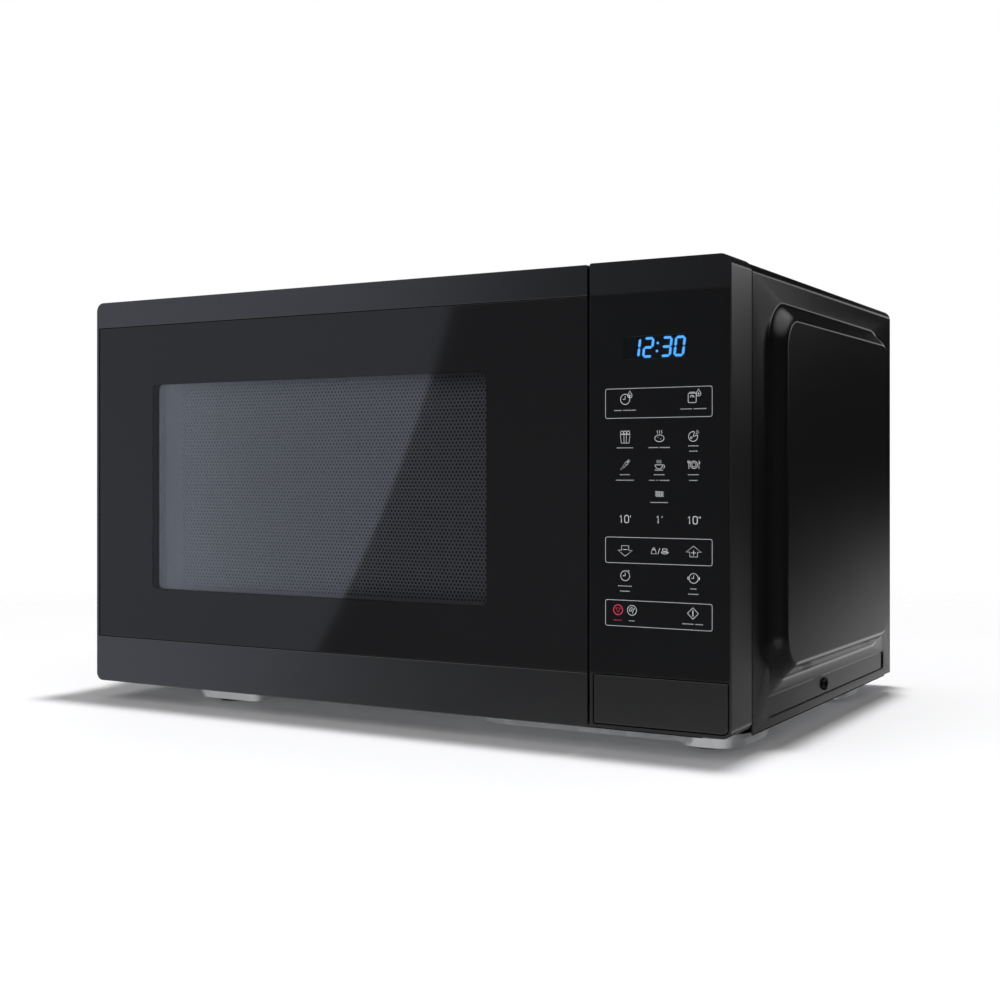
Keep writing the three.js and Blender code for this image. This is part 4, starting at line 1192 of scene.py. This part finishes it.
class Pen:
    """Draws printed lines on the touch panel, in millimetres about an icon's middle."""

    def __init__(self):
        self.curve = bpy.data.curves.new("marks", "CURVE")
        self.curve.dimensions = "3D"
        self.curve.bevel_depth = panel().stroke / 2
        self.curve.bevel_resolution = 1
        self.curve.use_fill_caps = True
        self.at = (0, 0)

    def line(self, *points, closed=False, width=1.0):
        spline = self.curve.splines.new("POLY")
        spline.points.add(len(points) - 1)
        for target, (x, z) in zip(spline.points, points):
            target.co = ((self.at[0] + x) * MM, 0, (self.at[1] + z) * MM, 1)
            target.radius = width
        spline.use_cyclic_u = closed

    def arc(self, x, z, radius, start=0, stop=360, squash=1.0, steps=20, width=1.0):
        whole = abs(stop - start) >= 360
        count = steps if whole else steps + 1
        angles = [math.radians(start + (stop - start) * i / steps) for i in range(count)]
        points = [(x + radius * math.cos(a), z + squash * radius * math.sin(a)) for a in angles]
        self.line(*points, closed=whole, width=width)

    def box(self, x0, z0, x1, z1, corner=0.0, width=1.0):
        points = []
        for cx, cz, start in (
            (x1 - corner, z0 + corner, -90), (x1 - corner, z1 - corner, 0),
            (x0 + corner, z1 - corner, 90), (x0 + corner, z0 + corner, 180),
        ):
            for i in range(5):
                a = math.radians(start + 22.5 * i)
                points.append((cx + corner * math.cos(a), cz + corner * math.sin(a)))
        self.line(*points, closed=True, width=width)

    def caption(self, *words, z=-5.8):
        """A row of short dashes where a printed word would stand."""
        total = sum(words) + 0.8 * (len(words) - 1)
        x = -total / 2
        for word in words:
            letters = max(2, round(word / 0.85))
            for i in range(letters):
                left = x + word * i / letters
                self.line((left, z), (left + word / letters * 0.62, z), width=1.25)
            x += word + 0.8

    def finished(self, name, paint):
        obj = bpy.data.objects.new(name, self.curve)
        bpy.context.scene.collection.objects.link(obj)
        bm = bmesh.new()
        bm.from_mesh(evaluated_mesh(obj))
        bpy.data.objects.remove(obj)
        flat = 0.03 * MM / panel().stroke
        bmesh.ops.scale(bm, vec=(1, flat, 1), verts=bm.verts)
        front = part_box("touch_panel")[0].y
        bmesh.ops.translate(bm, vec=(0, front, 0), verts=bm.verts)
        bmesh.ops.recalc_face_normals(bm, faces=bm.faces)
        return finish(name, bm, "root", "gloss_black", paint=paint)


def clock(pen, radius=2.7):
    pen.arc(0, 0, radius)
    pen.line((0, radius * 0.6), (0, 0), (-radius * 0.5, 0))


def drop(pen, x, z):
    pen.arc(x, z, 1.25, -230, 50)
    pen.line((x - 0.8, z + 0.95), (x, z + 2.4), (x + 0.8, z + 0.95))
    pen.line((x - 0.7, z), (x + 0.7, z), width=0.8)
    pen.line((x, z - 0.7), (x, z + 0.7), width=0.8)


def steam(pen, base, spots=(-1.2, 0, 1.2)):
    for x in spots:
        pen.line((x, base), (x + 0.25, base + 0.6), (x - 0.15, base + 1.1), (x + 0.2, base + 1.7), width=0.8)


def timed_thaw(pen):
    clock(pen)
    drop(pen, 2.7, 1.9)
    pen.caption(4.4, 7.4)


def weighed_thaw(pen):
    pen.box(-3, -2.6, 1.4, 2.2, 0.6)
    pen.line((-2.4, 2.7), (0.8, 2.7))
    pen.arc(-0.8, 0, 1.1, 0, 180)
    pen.line((-0.8, 0), (-0.3, 0.8))
    drop(pen, 2.7, 1.9)
    pen.caption(6.4, 7.2)


def popped_grain(pen):
    pen.line((-2.8, 1.2), (-2.2, -3.3), (2.2, -3.3), (2.8, 1.2), closed=True)
    for x in (-1.8, 0, 1.8):
        pen.arc(x, 2.2, 0.9, steps=8)
    pen.line((-0.75, 1.2), (-0.6, -3.3), width=0.8)
    pen.line((0.75, 1.2), (0.6, -3.3), width=0.8)
    pen.caption(9.6)


def baked_root(pen):
    pen.arc(0, -1, 2.6, squash=0.68)
    pen.line((-1, -0.4), (-0.6, -0.4))
    pen.line((0.5, -1.3), (0.9, -1.3))
    steam(pen, 1.4)
    pen.caption(5.6, 5.8)


def round_slice(pen):
    pen.arc(-0.3, -0.3, 2.5, 70, 380)
    pen.line((-0.3, -0.3), (0.5, 2.1))
    pen.line((-0.3, -0.3), (2.1, 0.4))
    pen.arc(-1.3, -0.9, 0.5, steps=8)
    pen.line((1.2, 1), (2.9, 1.6), (1.9, 3), closed=True)
    pen.caption(5.8, z=-5.1)
    pen.caption(4.6, z=-7.8)


def carrot(pen):
    pen.line((-2.7, -2.6), (0.5, 1.9), (1.8, 0.6), closed=True)
    pen.line((1.2, 1.3), (2, 3), width=0.9)
    pen.line((1.2, 1.3), (2.9, 2.2), width=0.9)
    pen.line((-0.9, -1.1), (-0.3, -1.2), width=0.8)
    pen.line((0.1, 0.5), (0.7, 0.1), width=0.8)
    pen.caption(5.8, z=-5.1)
    pen.caption(10.4, z=-8)


def hot_cup(pen):
    pen.arc(-0.3, 0, 2.1, 180, 360)
    pen.line((-2.4, 0), (1.8, 0))
    pen.arc(2, -0.8, 0.9, -90, 90, steps=8)
    pen.line((-2.6, -2.7), (2, -2.7))
    steam(pen, 0.8, (-1.3, -0.3, 0.7))
    pen.caption(6.2, z=-5.1)
    pen.caption(3.4, 1, 5.6, z=-8)


def laid_place(pen):
    pen.arc(0.2, 0, 1.9)
    pen.arc(0.2, 0, 1.1, steps=14, width=0.8)
    pen.line((-2.6, -2), (-2.6, 2.1))
    pen.line((-3.2, 2.1), (-3.2, 1), (-2, 1), (-2, 2.1))
    pen.line((2.9, -2), (2.9, 2.2), (3.4, 1), (2.9, 0.4))
    pen.caption(6.2, z=-5.1)
    pen.caption(4.8, z=-8)


def heating_waves(pen):
    for z in (-1, 0, 1):
        points = [(-2.4 + 0.4 * i, z + 0.32 * math.sin(i * math.pi / 2)) for i in range(13)]
        pen.line(*points)
    for x in (-1.3, 0, 1.3):
        pen.line((x, -1.5), (x, 1.5), width=0.7)
    pen.caption(10, z=-4.4)


def step_down(pen):
    pen.line((-2.1, 2.4), (2.1, 2.4), (2.1, 0), (4.2, 0), (0, -3.1), (-4.2, 0), (-2.1, 0), closed=True)
    pen.line((-1.3, 0.4), (1.3, 0.4))


def step_up(pen):
    pen.line((-2.1, -2.4), (2.1, -2.4), (2.1, 0), (4.2, 0), (0, 3.1), (-4.2, 0), (-2.1, 0), closed=True)
    pen.line((-1.3, -0.3), (1.3, -0.3))
    pen.line((0, -1.6), (0, 1))


def weight_mark(pen):
    pen.line((-4.6, -1.4), (-1.8, -1.4), (-2.3, 0.7), (-4.1, 0.7), closed=True)
    pen.arc(-3.2, 1.2, 0.55, steps=10)
    pen.line((-0.9, -1.6), (0.2, 1.6))
    pen.arc(3, -0.4, 1.9, 180, 360, 0.5, 10)
    pen.line((0.9, -0.4), (5.1, -0.4))
    pen.box(1.7, 0.1, 4.3, 1.3, 0.4)


def running_timer(pen):
    pen.arc(0, 0, 2.6, 60, 345)
    pen.line((0, 1.5), (0, 0), (-1.3, 0))
    for angle in (-5, 12, 29, 46):
        a = math.radians(angle)
        pen.arc(2.6 * math.cos(a), 2.6 * math.sin(a), 0.12, steps=6)
    pen.line((1.2, 2.6), (2.3, 2.9), (2.1, 1.8), width=0.8)
    pen.caption(8, z=-5.4)
    pen.caption(5.6, z=-8.1)


def wall_clock(pen):
    clock(pen, 2.5)
    pen.line((-3.1, -0.8), (-3.1, 0.8), width=1.4)
    pen.line((3.1, -0.8), (3.1, 0.8), width=1.4)
    pen.caption(3.6, z=-5.4)
    pen.caption(5.8, z=-8.1)


def saving_leaf(pen):
    pen.arc(0, 0, 2.6)
    pen.line((-1.6, -0.3), (-0.9, 1.2), (0.2, 1.6), (0, 0.2), (-0.9, -0.6), closed=True)
    pen.line((0.2, -1.6), (0.9, 0.5), (1.6, 1.2))
    pen.caption(3.4, z=-5.5)


def start_mark(pen):
    pen.line((-3, 0), (0, 2.9), (3, 0), (0, -2.9), closed=True, width=1.2)
    pen.line((0, -1.5), (0, 1.5), width=1.5)
    pen.caption(6.4, 4.4, z=-5.5)


def stop_mark(pen):
    pen.arc(0, 0, 2.6, width=1.6)
    pen.line((-1.4, 0.9), (1.4, 0.9), (0, -1.4), closed=True, width=1.4)
    pen.caption(5, z=-5.5)


COLUMNS = (-59.1, -39.6, -20.6)  # icon columns, from the panel's right edge
ICONS = [
    (COLUMNS[0], 185.4, timed_thaw), (COLUMNS[2], 185.4, weighed_thaw),
    (COLUMNS[0], 165.7, popped_grain), (COLUMNS[1], 165.7, baked_root), (COLUMNS[2], 165.7, round_slice),
    (COLUMNS[0], 150.9, carrot), (COLUMNS[1], 150.9, hot_cup), (COLUMNS[2], 150.9, laid_place),
    (COLUMNS[1], 135.8, heating_waves),
    (COLUMNS[0], 106.1, step_down), (COLUMNS[1], 106.1, weight_mark), (COLUMNS[2], 106.1, step_up),
    (COLUMNS[0], 92.7, running_timer), (COLUMNS[2], 92.7, wall_clock),
    (-55.2, 74.7, saving_leaf), (-21.0, 74.7, start_mark),
]
FRAMES = [(175.5, 191.0), (99.4, 112.9), (66.2, 79.8)]
NUMERALS = [(COLUMNS[0], "10", 1), (COLUMNS[1], "1", 1), (COLUMNS[2], "10", 2)]


def numeral_strokes(pen, text, primes):
    """Plain stroked numerals with minute or second marks."""
    wide, tall = 2.3, 3.8
    x = -(len(text) * (wide + 0.7)) / 2 - 0.3
    for digit in text:
        if digit == "1":
            pen.line((x + 0.3, tall * 0.28), (x + 1.1, tall / 2), (x + 1.1, -tall / 2), width=1.5)
        else:
            pen.box(x, -tall / 2, x + wide, tall / 2, 0.85, width=1.4)
        x += wide + 0.7
    for i in range(primes):
        pen.line((x + 0.2 + 0.7 * i, tall * 0.25), (x + 0.4 + 0.7 * i, tall / 2), width=1.1)


def printed_marks():
    pen = Pen()
    right = SIDE / MM
    for low, high in FRAMES:
        pen.at = (right, 0)
        pen.box(-70.5, low, -10.5, high, 1.1, width=0.75)
    for x, z, draw in ICONS:
        pen.at = (right + x, z)
        draw(pen)
    for x, text, primes in NUMERALS:
        pen.at = (right + x, 122.5)
        numeral_strokes(pen, text, primes)
    pen.finished("panel_marks", "print_ink")
    red = Pen()
    red.at = (right - 63.2, 74.7)
    stop_mark(red)
    red.finished("stop_key_mark", "stop_ink")


# ---- Cavity ---------------------------------------------------------------------------------


def cavity_liner():
    """The welded box, with the recess pressed into its back wall."""
    low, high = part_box("cavity_shell")
    c = casing()
    t = c.sheet
    back = behind(299.7)
    bm = bmesh.new()
    wall = outline(bm, (-(high.x - t), -(low.x + t)), (low.z + t, high.z - t), [5 * MM] * 4, 6)
    rims = list(wall.edges)
    bm.faces.remove(wall)
    recess = outline(bm, (-97 * MM, 188 * MM), (41 * MM, 227 * MM), [21 * MM] * 4, 10)
    bmesh.ops.triangle_fill(bm, edges=rims + list(recess.edges), use_beauty=True, normal=(0, 0, 1))
    raise_hill(bm, recess, high.y - t - back, 6 * MM, 8)
    stand(bm, "rear", back)
    rim = [e for e in bm.edges if e.is_boundary]
    pulled = bmesh.ops.extrude_edge_only(bm, edges=rim)["geom"]
    for v in [g for g in pulled if isinstance(g, bmesh.types.BMVert)]:
        v.co.y = low.y
    corner = [e for e in bm.edges if not e.is_boundary and all(abs(v.co.y - back) < 1e-6 for v in e.verts)]
    corner = [e for e in corner if any(abs(f.normal.y) < 0.1 for f in e.link_faces)]
    round_edges(bm, corner, 3 * MM, 3)
    outward(bm, ((low.x + high.x) / 2, low.y, (low.z + high.z) / 2))
    bmesh.ops.reverse_faces(bm, faces=bm.faces)
    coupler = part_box("drive_coupler")
    at = (coupler[0] + coupler[1]) / 2
    hole = turned(rod_profile(8 * MM, -4 * MM, 4 * MM), (at.x, at.y, low.z), Z, 24)
    half = 1.3 * MM
    lamp_holes = []
    for i in range(6):
        for j in range(5):
            y, z = behind(84 + 5 * i), (206 + 5 * j) * MM
            cut_low = (high.x - 3 * MM, y - half, z - half)
            cut_high = (high.x + 2 * MM, y + half, z + half)
            lamp_holes.append(slab(cut_low, cut_high, X, [1.1 * MM] * 4, 2))
    return finish(
        "cavity_liner", bm, "root", "grey_enamel", ["cavity_shell"], cuts=[hole, join(*lamp_holes)], wall=t
    )


def mica_cover():
    low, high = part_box("waveguide_cover")
    body = slab(low, high, X, [3 * MM] * 4, 5)
    return finish("mica_cover", body, "root", "mica", ["waveguide_cover"], edge=0.12 * MM)


def turntable_glass():
    """Pressed glass plate with a rolled rim and moulded rings."""
    low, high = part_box("glass_turntable")
    centre = ((low.x + high.x) / 2, (low.y + high.y) / 2, low.z)
    r = (high.x - low.x) / 2
    thick = 5.2 * MM
    top = [(0, thick), (22 * MM, thick)]
    for ring in (40, 62, 84, 106):
        for offset, lift in ((-1.6, 0), (-0.6, 0.45), (0.6, 0.45), (1.6, 0)):
            top.append(((ring + offset) * MM, thick + lift * MM))
    rim = [
        (r - 7 * MM, thick), (r - 4.6 * MM, thick + 0.9 * MM), (r - 2.8 * MM, high.z - low.z - 0.9 * MM),
        (r - 1.6 * MM, high.z - low.z - 0.1 * MM), (r - 0.7 * MM, high.z - low.z - 0.3 * MM), (r, 7.4 * MM),
        (r - 0.4 * MM, 6 * MM), (r - 2.4 * MM, 2 * MM), (r - 5 * MM, 0.5 * MM), (r - 9 * MM, 0), (0, 0),
    ]
    bm = turned(top + rim, centre, Z, 96)
    return finish("turntable_glass", bm, "turntable", "clear_glass", ["glass_turntable"])


def roller_support():
    low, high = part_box("roller_ring")
    coupler_low, coupler_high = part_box("drive_coupler")
    at = (coupler_low + coupler_high) / 2
    level = (low.z + high.z) / 2
    inner, outer, half = 82 * MM, 86 * MM, 2 * MM
    profile = [(inner, -half), (outer, -half), (outer, half), (inner, half), (inner, -half)]
    parts = [turned(profile, (at.x, at.y, level), Z, 96)]
    for i in range(3):
        turn = Matrix.Rotation(i * math.tau / 3, 4, "Z")
        axle = turned(rod_profile(1.3 * MM, 85 * MM, 97.4 * MM), (0, 0, 0), X, 20)
        bmesh.ops.transform(axle, matrix=Matrix.Translation((at.x, at.y, level)) @ turn, verts=axle.verts)
        parts.append(axle)
    return finish("roller_carrier", join(*parts), "ring", "white_plastic", ["roller_ring"], edge=0.4 * MM)


def wheel(index):
    low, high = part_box(f"roller_{index + 1}")
    centre = (low + high) / 2
    r, half = 7.5 * MM, 3.5 * MM
    profile = [
        (1.6 * MM, -half), (3 * MM, -half), (3.2 * MM, -half + 0.7 * MM), (5.4 * MM, -half + 0.7 * MM),
        (5.7 * MM, -half), (6.7 * MM, -half), (7.3 * MM, -half + 0.5 * MM), (r, -half + 1.1 * MM),
    ]
    profile += [(radius, -height) for radius, height in reversed(profile)] + [(1.6 * MM, -half)]
    bm = turned(profile, (0, 0, 0), X, 40)
    turn = Matrix.Rotation(index * math.tau / 3, 4, "Z")
    bmesh.ops.transform(bm, matrix=Matrix.Translation(centre) @ turn, verts=bm.verts)
    name = f"roller_{index + 1}"
    return finish(f"wheel_{index + 1}", bm, name, "white_plastic", [name])


def coupling():
    return finish(
        "drive_coupling", copy_of("drive_coupler"), "coupler", "white_plastic", ["drive_coupler"],
        edge=0.5 * MM, angle=28, segments=3,
    )


# ---- Stage ----------------------------------------------------------------------------------


def carried_over():
    """The CAD pieces that stay, each in its own slot's finish."""
    slots = {s["node"]: s["material_slot"] for s in frame["record"]["subparts"]}
    for name, obj in frame["nodes"].items():
        if not obj.hide_render:
            obj.data.materials.clear()
            obj.data.materials.append(palette()[slots[name]])


def area_light(name, place, target, size, power):
    data = bpy.data.lights.new(name, "AREA")
    data.shape = "RECTANGLE"
    data.size, data.size_y = size
    data.energy = power
    obj = bpy.data.objects.new(name, data)
    bpy.context.scene.collection.objects.link(obj)
    obj.location = place
    obj.rotation_euler = (Vector(target) - Vector(place)).to_track_quat("-Z", "Y").to_euler()
    obj.visible_glossy = False


CAMERA_PLACE = (0.4815, -0.8713, 0.147)
CAMERA_HEADING = math.radians(29.787)

# Where the edge of the big card on the left is mirrored in the door, as x and z in millimetres.
CARD_EDGE = [(53.9, 240), (25.7, 165.5), (-38.1, 44.6)]


def mirrored(x, z):
    """The direction in which the camera looks after one reflection in the door's front."""
    look = Vector((x * MM, FRONT, z * MM)) - Vector(CAMERA_PLACE)
    look.y = -look.y
    return look.normalized()


class Sky:
    """A world shader whose light depends on direction, written with the same sums as a finish."""

    def __init__(self, tree):
        self.tree = tree
        self.place = self.add("ShaderNodeTexCoord").outputs["Generated"]

    add = Finish.add
    feed = Finish.feed
    number = Finish.number
    axis = Finish.axis
    blend = Finish.blend

    def facing(self, direction):
        """The cosine between a ray and a direction."""
        values = {0: self.place, 1: tuple(Vector(direction).normalized())}
        node = self.add("ShaderNodeVectorMath", {"operation": "DOT_PRODUCT"}, values)
        return self.number(node.outputs["Value"])

    def blob(self, direction, inner, outer):
        """1 within inner degrees of a direction, falling to 0 at outer degrees."""
        edges = [math.cos(math.radians(a)) for a in (outer, inner)]
        return self.facing(direction).between(*edges)


def studio_world():
    """White to the camera. To the oven: a dim front with a card on its left, dark sides, pale floor."""
    world = bpy.data.worlds.new("studio")
    bpy.context.scene.world = world
    world.use_nodes = True
    world.node_tree.nodes.clear()
    sky = Sky(world.node_tree)
    up, back = sky.axis(Z), sky.axis(Y)
    first, second, third = (mirrored(*point) for point in CARD_EDGE)
    across = (second - first).cross(third - first)
    level = across.dot(first) / across.length
    card = (sky.facing(across) - level).between(-0.0015, 0.0015)
    if mirrored(-200, 140).dot(across) / across.length < level:
        card = 1 - card
    front = (-back).between(0.1, 0.3)
    card = card * front * (1 - abs(up).between(0.35, 0.6))
    room = 0.008 + 0.03 * front + 0.45 * card
    overhead = 1.2 * up.between(0.42, 0.75)
    bounce = (0.1 + 0.5 * front) * (-up).between(0.18, 0.27)
    low_right = 1.05 * sky.blob((0.13, 0.97, -0.2), 2, 12)
    high_right = 0.65 * sky.blob((0.47, 0.87, 0.17), 1, 9)
    strip = 0.8 * up.between(0.13, 0.17) * (1 - up.between(0.19, 0.25)) * back.between(0.7, 0.9)
    light = room + overhead + bounce.larger(low_right) + high_right + strip
    path = sky.add("ShaderNodeLightPath").outputs
    mirrored_light = sky.number(path["Is Glossy Ray"])
    strength = mirrored_light * light + (1 - mirrored_light) * 0.36
    shade = sky.blend(card, (1, 1, 1), (0.85, 0.9, 1.05))
    felt = sky.add("ShaderNodeBackground", values={"Color": shade, "Strength": strength})
    seen = sky.add("ShaderNodeBackground", values={"Color": (1, 1, 1, 1), "Strength": 1.0})
    values = {0: path["Is Camera Ray"], 1: felt.outputs[0], 2: seen.outputs[0]}
    mix = sky.add("ShaderNodeMixShader", values=values)
    output = sky.add("ShaderNodeOutputWorld")
    sky.feed(output.inputs["Surface"], mix.outputs[0])


def pale_floor():
    """A wide pale disc that fades into the background."""
    bm = bmesh.new()
    bmesh.ops.create_circle(bm, cap_ends=True, segments=96, radius=3.2)
    obj = loose_object("studio_floor", bm)
    f = Finish("studio_floor_paint", (0.86, 0.86, 0.87))
    f.rough(0.5 + 0.05 * f.noise(3, 2))
    distance = f.number(f.add("ShaderNodeVectorMath", {"operation": "LENGTH"}, {0: f.place}).outputs["Value"])
    clear_part = f.add("ShaderNodeBsdfTransparent")
    values = {0: distance.between(0.4, 1.05), 1: f.shader.outputs[0], 2: clear_part.outputs[0]}
    f.surface(f.add("ShaderNodeMixShader", values=values).outputs[0])
    obj.data.materials.append(f.material)
    obj.visible_glossy = False


def camera():
    data = bpy.data.cameras.new("studio_camera")
    data.sensor_width = 36
    data.lens = 52.13
    data.shift_y = -0.0276
    data.clip_start = 0.01
    obj = bpy.data.objects.new("studio_camera", data)
    bpy.context.scene.collection.objects.link(obj)
    obj.location = CAMERA_PLACE
    obj.rotation_euler = (math.pi / 2, 0, CAMERA_HEADING)
    bpy.context.scene.camera = obj


def stage():
    bpy.context.scene.view_settings.view_transform = "Standard"
    studio_world()
    pale_floor()
    area_light("top_light", (0.12, 0.15, 3.4), (0, 0, 0), (0.25, 0.25), 107)
    area_light("front_softbox", (-0.6, -1.9, 0.9), (0, -0.1, 0.12), (1.4, 1.0), 10)
    camera()


# ---- Operators and panel --------------------------------------------------------------------


def all_feet():
    for node in ("foot_front_left", "foot_front_right", "foot_rear_left", "foot_rear_right"):
        rubber_foot(node)


def all_screws():
    screw("side_screw_left", X, -1)
    screw("side_screw_right", X, 1)
    screw("rear_screw_left", Y, 1)
    screw("rear_screw_right", Y, 1)


def all_wheels():
    for index in range(3):
        wheel(index)


class OVEN_OT_wrap(bpy.types.Operator):
    """Build the bent and embossed casing"""

    bl_idname = "oven.wrap"
    bl_label = "Casing wrap"

    def execute(self, context):
        casing_wrap()
        return {"FINISHED"}


class OVEN_OT_rear(bpy.types.Operator):
    """Build the bulged rear panel"""

    bl_idname = "oven.rear"
    bl_label = "Rear panel"

    def execute(self, context):
        rear_panel()
        return {"FINISHED"}


class OVEN_OT_base(bpy.types.Operator):
    """Build the galvanised base pan"""

    bl_idname = "oven.base"
    bl_label = "Base pan"

    def execute(self, context):
        base_pan()
        return {"FINISHED"}


class OVEN_OT_feet(bpy.types.Operator):
    """Build the four push-in feet"""

    bl_idname = "oven.feet"
    bl_label = "Rubber feet"

    def execute(self, context):
        all_feet()
        return {"FINISHED"}


class OVEN_OT_screws(bpy.types.Operator):
    """Build the side and rear screws"""

    bl_idname = "oven.screws"
    bl_label = "Screws"

    def execute(self, context):
        all_screws()
        return {"FINISHED"}


class OVEN_OT_rear_fittings(bpy.types.Operator):
    """Build the cord bushing and the wall spacer"""

    bl_idname = "oven.rear_fittings"
    bl_label = "Rear fittings"

    def execute(self, context):
        gland()
        spacer()
        return {"FINISHED"}


class OVEN_OT_surround(bpy.types.Operator):
    """Build the moulded door frame"""

    bl_idname = "oven.surround"
    bl_label = "Door surround"

    def execute(self, context):
        door_surround()
        return {"FINISHED"}


class OVEN_OT_glass(bpy.types.Operator):
    """Build the printed front glass"""

    bl_idname = "oven.glass"
    bl_label = "Front glass"

    def execute(self, context):
        front_glass()
        return {"FINISHED"}


class OVEN_OT_screen(bpy.types.Operator):
    """Build the door's perforated screen"""

    bl_idname = "oven.screen"
    bl_label = "Perforated screen"

    def execute(self, context):
        perforated_screen()
        return {"FINISHED"}


class OVEN_OT_choke(bpy.types.Operator):
    """Build the cover on the door's back"""

    bl_idname = "oven.choke"
    bl_label = "Choke cover"

    def execute(self, context):
        choke_cover()
        return {"FINISHED"}


class OVEN_OT_copies(bpy.types.Operator):
    """Round the edges of simple CAD pieces"""

    bl_idname = "oven.copies"
    bl_label = "Dressed CAD pieces"

    def execute(self, context):
        dressed_copies()
        return {"FINISHED"}


class OVEN_OT_bezel(bpy.types.Operator):
    """Build the control panel's moulding"""

    bl_idname = "oven.bezel"
    bl_label = "Control surround"

    def execute(self, context):
        bezel()
        return {"FINISHED"}


class OVEN_OT_overlay(bpy.types.Operator):
    """Build the overlay and its window"""

    bl_idname = "oven.overlay"
    bl_label = "Touch overlay"

    def execute(self, context):
        overlay()
        lens()
        return {"FINISHED"}


class OVEN_OT_display(bpy.types.Operator):
    """Build the display and its digits"""

    bl_idname = "oven.display"
    bl_label = "Display"

    def execute(self, context):
        display_unit()
        digits()
        return {"FINISHED"}


class OVEN_OT_marks(bpy.types.Operator):
    """Draw the panel's icons and frames"""

    bl_idname = "oven.marks"
    bl_label = "Printed marks"

    def execute(self, context):
        printed_marks()
        return {"FINISHED"}


class OVEN_OT_button(bpy.types.Operator):
    """Build the door release bar and its spring"""

    bl_idname = "oven.button"
    bl_label = "Release bar"

    def execute(self, context):
        button()
        return_spring()
        return {"FINISHED"}


class OVEN_OT_cavity(bpy.types.Operator):
    """Build the cavity and its mica cover"""

    bl_idname = "oven.cavity"
    bl_label = "Cavity liner"

    def execute(self, context):
        cavity_liner()
        mica_cover()
        return {"FINISHED"}


class OVEN_OT_turntable(bpy.types.Operator):
    """Build the glass plate and its drive"""

    bl_idname = "oven.turntable"
    bl_label = "Turntable"

    def execute(self, context):
        turntable_glass()
        coupling()
        return {"FINISHED"}


class OVEN_OT_rollers(bpy.types.Operator):
    """Build the roller ring and its wheels"""

    bl_idname = "oven.rollers"
    bl_label = "Rollers"

    def execute(self, context):
        roller_support()
        all_wheels()
        return {"FINISHED"}


class OVEN_OT_frame(bpy.types.Operator):
    """Give the kept CAD pieces their finishes"""

    bl_idname = "oven.frame"
    bl_label = "CAD finishes"

    def execute(self, context):
        carried_over()
        return {"FINISHED"}


class OVEN_OT_stage(bpy.types.Operator):
    """Set up the floor, light and camera"""

    bl_idname = "oven.stage"
    bl_label = "Studio"

    def execute(self, context):
        stage()
        return {"FINISHED"}


OPERATORS = [
    OVEN_OT_wrap,
    OVEN_OT_rear,
    OVEN_OT_base,
    OVEN_OT_feet,
    OVEN_OT_screws,
    OVEN_OT_rear_fittings,
    OVEN_OT_surround,
    OVEN_OT_glass,
    OVEN_OT_screen,
    OVEN_OT_choke,
    OVEN_OT_copies,
    OVEN_OT_bezel,
    OVEN_OT_overlay,
    OVEN_OT_display,
    OVEN_OT_marks,
    OVEN_OT_button,
    OVEN_OT_cavity,
    OVEN_OT_turntable,
    OVEN_OT_rollers,
    OVEN_OT_frame,
    OVEN_OT_stage,
]


class OVEN_PT_builder(bpy.types.Panel):
    """Lists the settings and the operators that build the oven."""

    bl_label = "Microwave Oven"
    bl_space_type = "VIEW_3D"
    bl_region_type = "UI"
    bl_category = "Oven"

    def draw(self, context):
        for name, group in SETTINGS.items():
            box = self.layout.box()
            for field in group.__annotations__:
                box.prop(getattr(context.scene, name), field)
        for made in OPERATORS:
            self.layout.operator(made.bl_idname)


CLASSES = [*SETTINGS.values(), *OPERATORS, OVEN_PT_builder]


def register():
    for made in CLASSES:
        bpy.utils.register_class(made)
    for name, group in SETTINGS.items():
        setattr(bpy.types.Scene, name, bpy.props.PointerProperty(type=group))


def unregister():
    for name in SETTINGS:
        delattr(bpy.types.Scene, name)
    for made in reversed(CLASSES):
        bpy.utils.unregister_class(made)


def main():
    register()
    for made in OPERATORS:
        getattr(bpy.ops.oven, made.bl_idname.split(".")[1])()


if __name__ == "__main__":
    main()
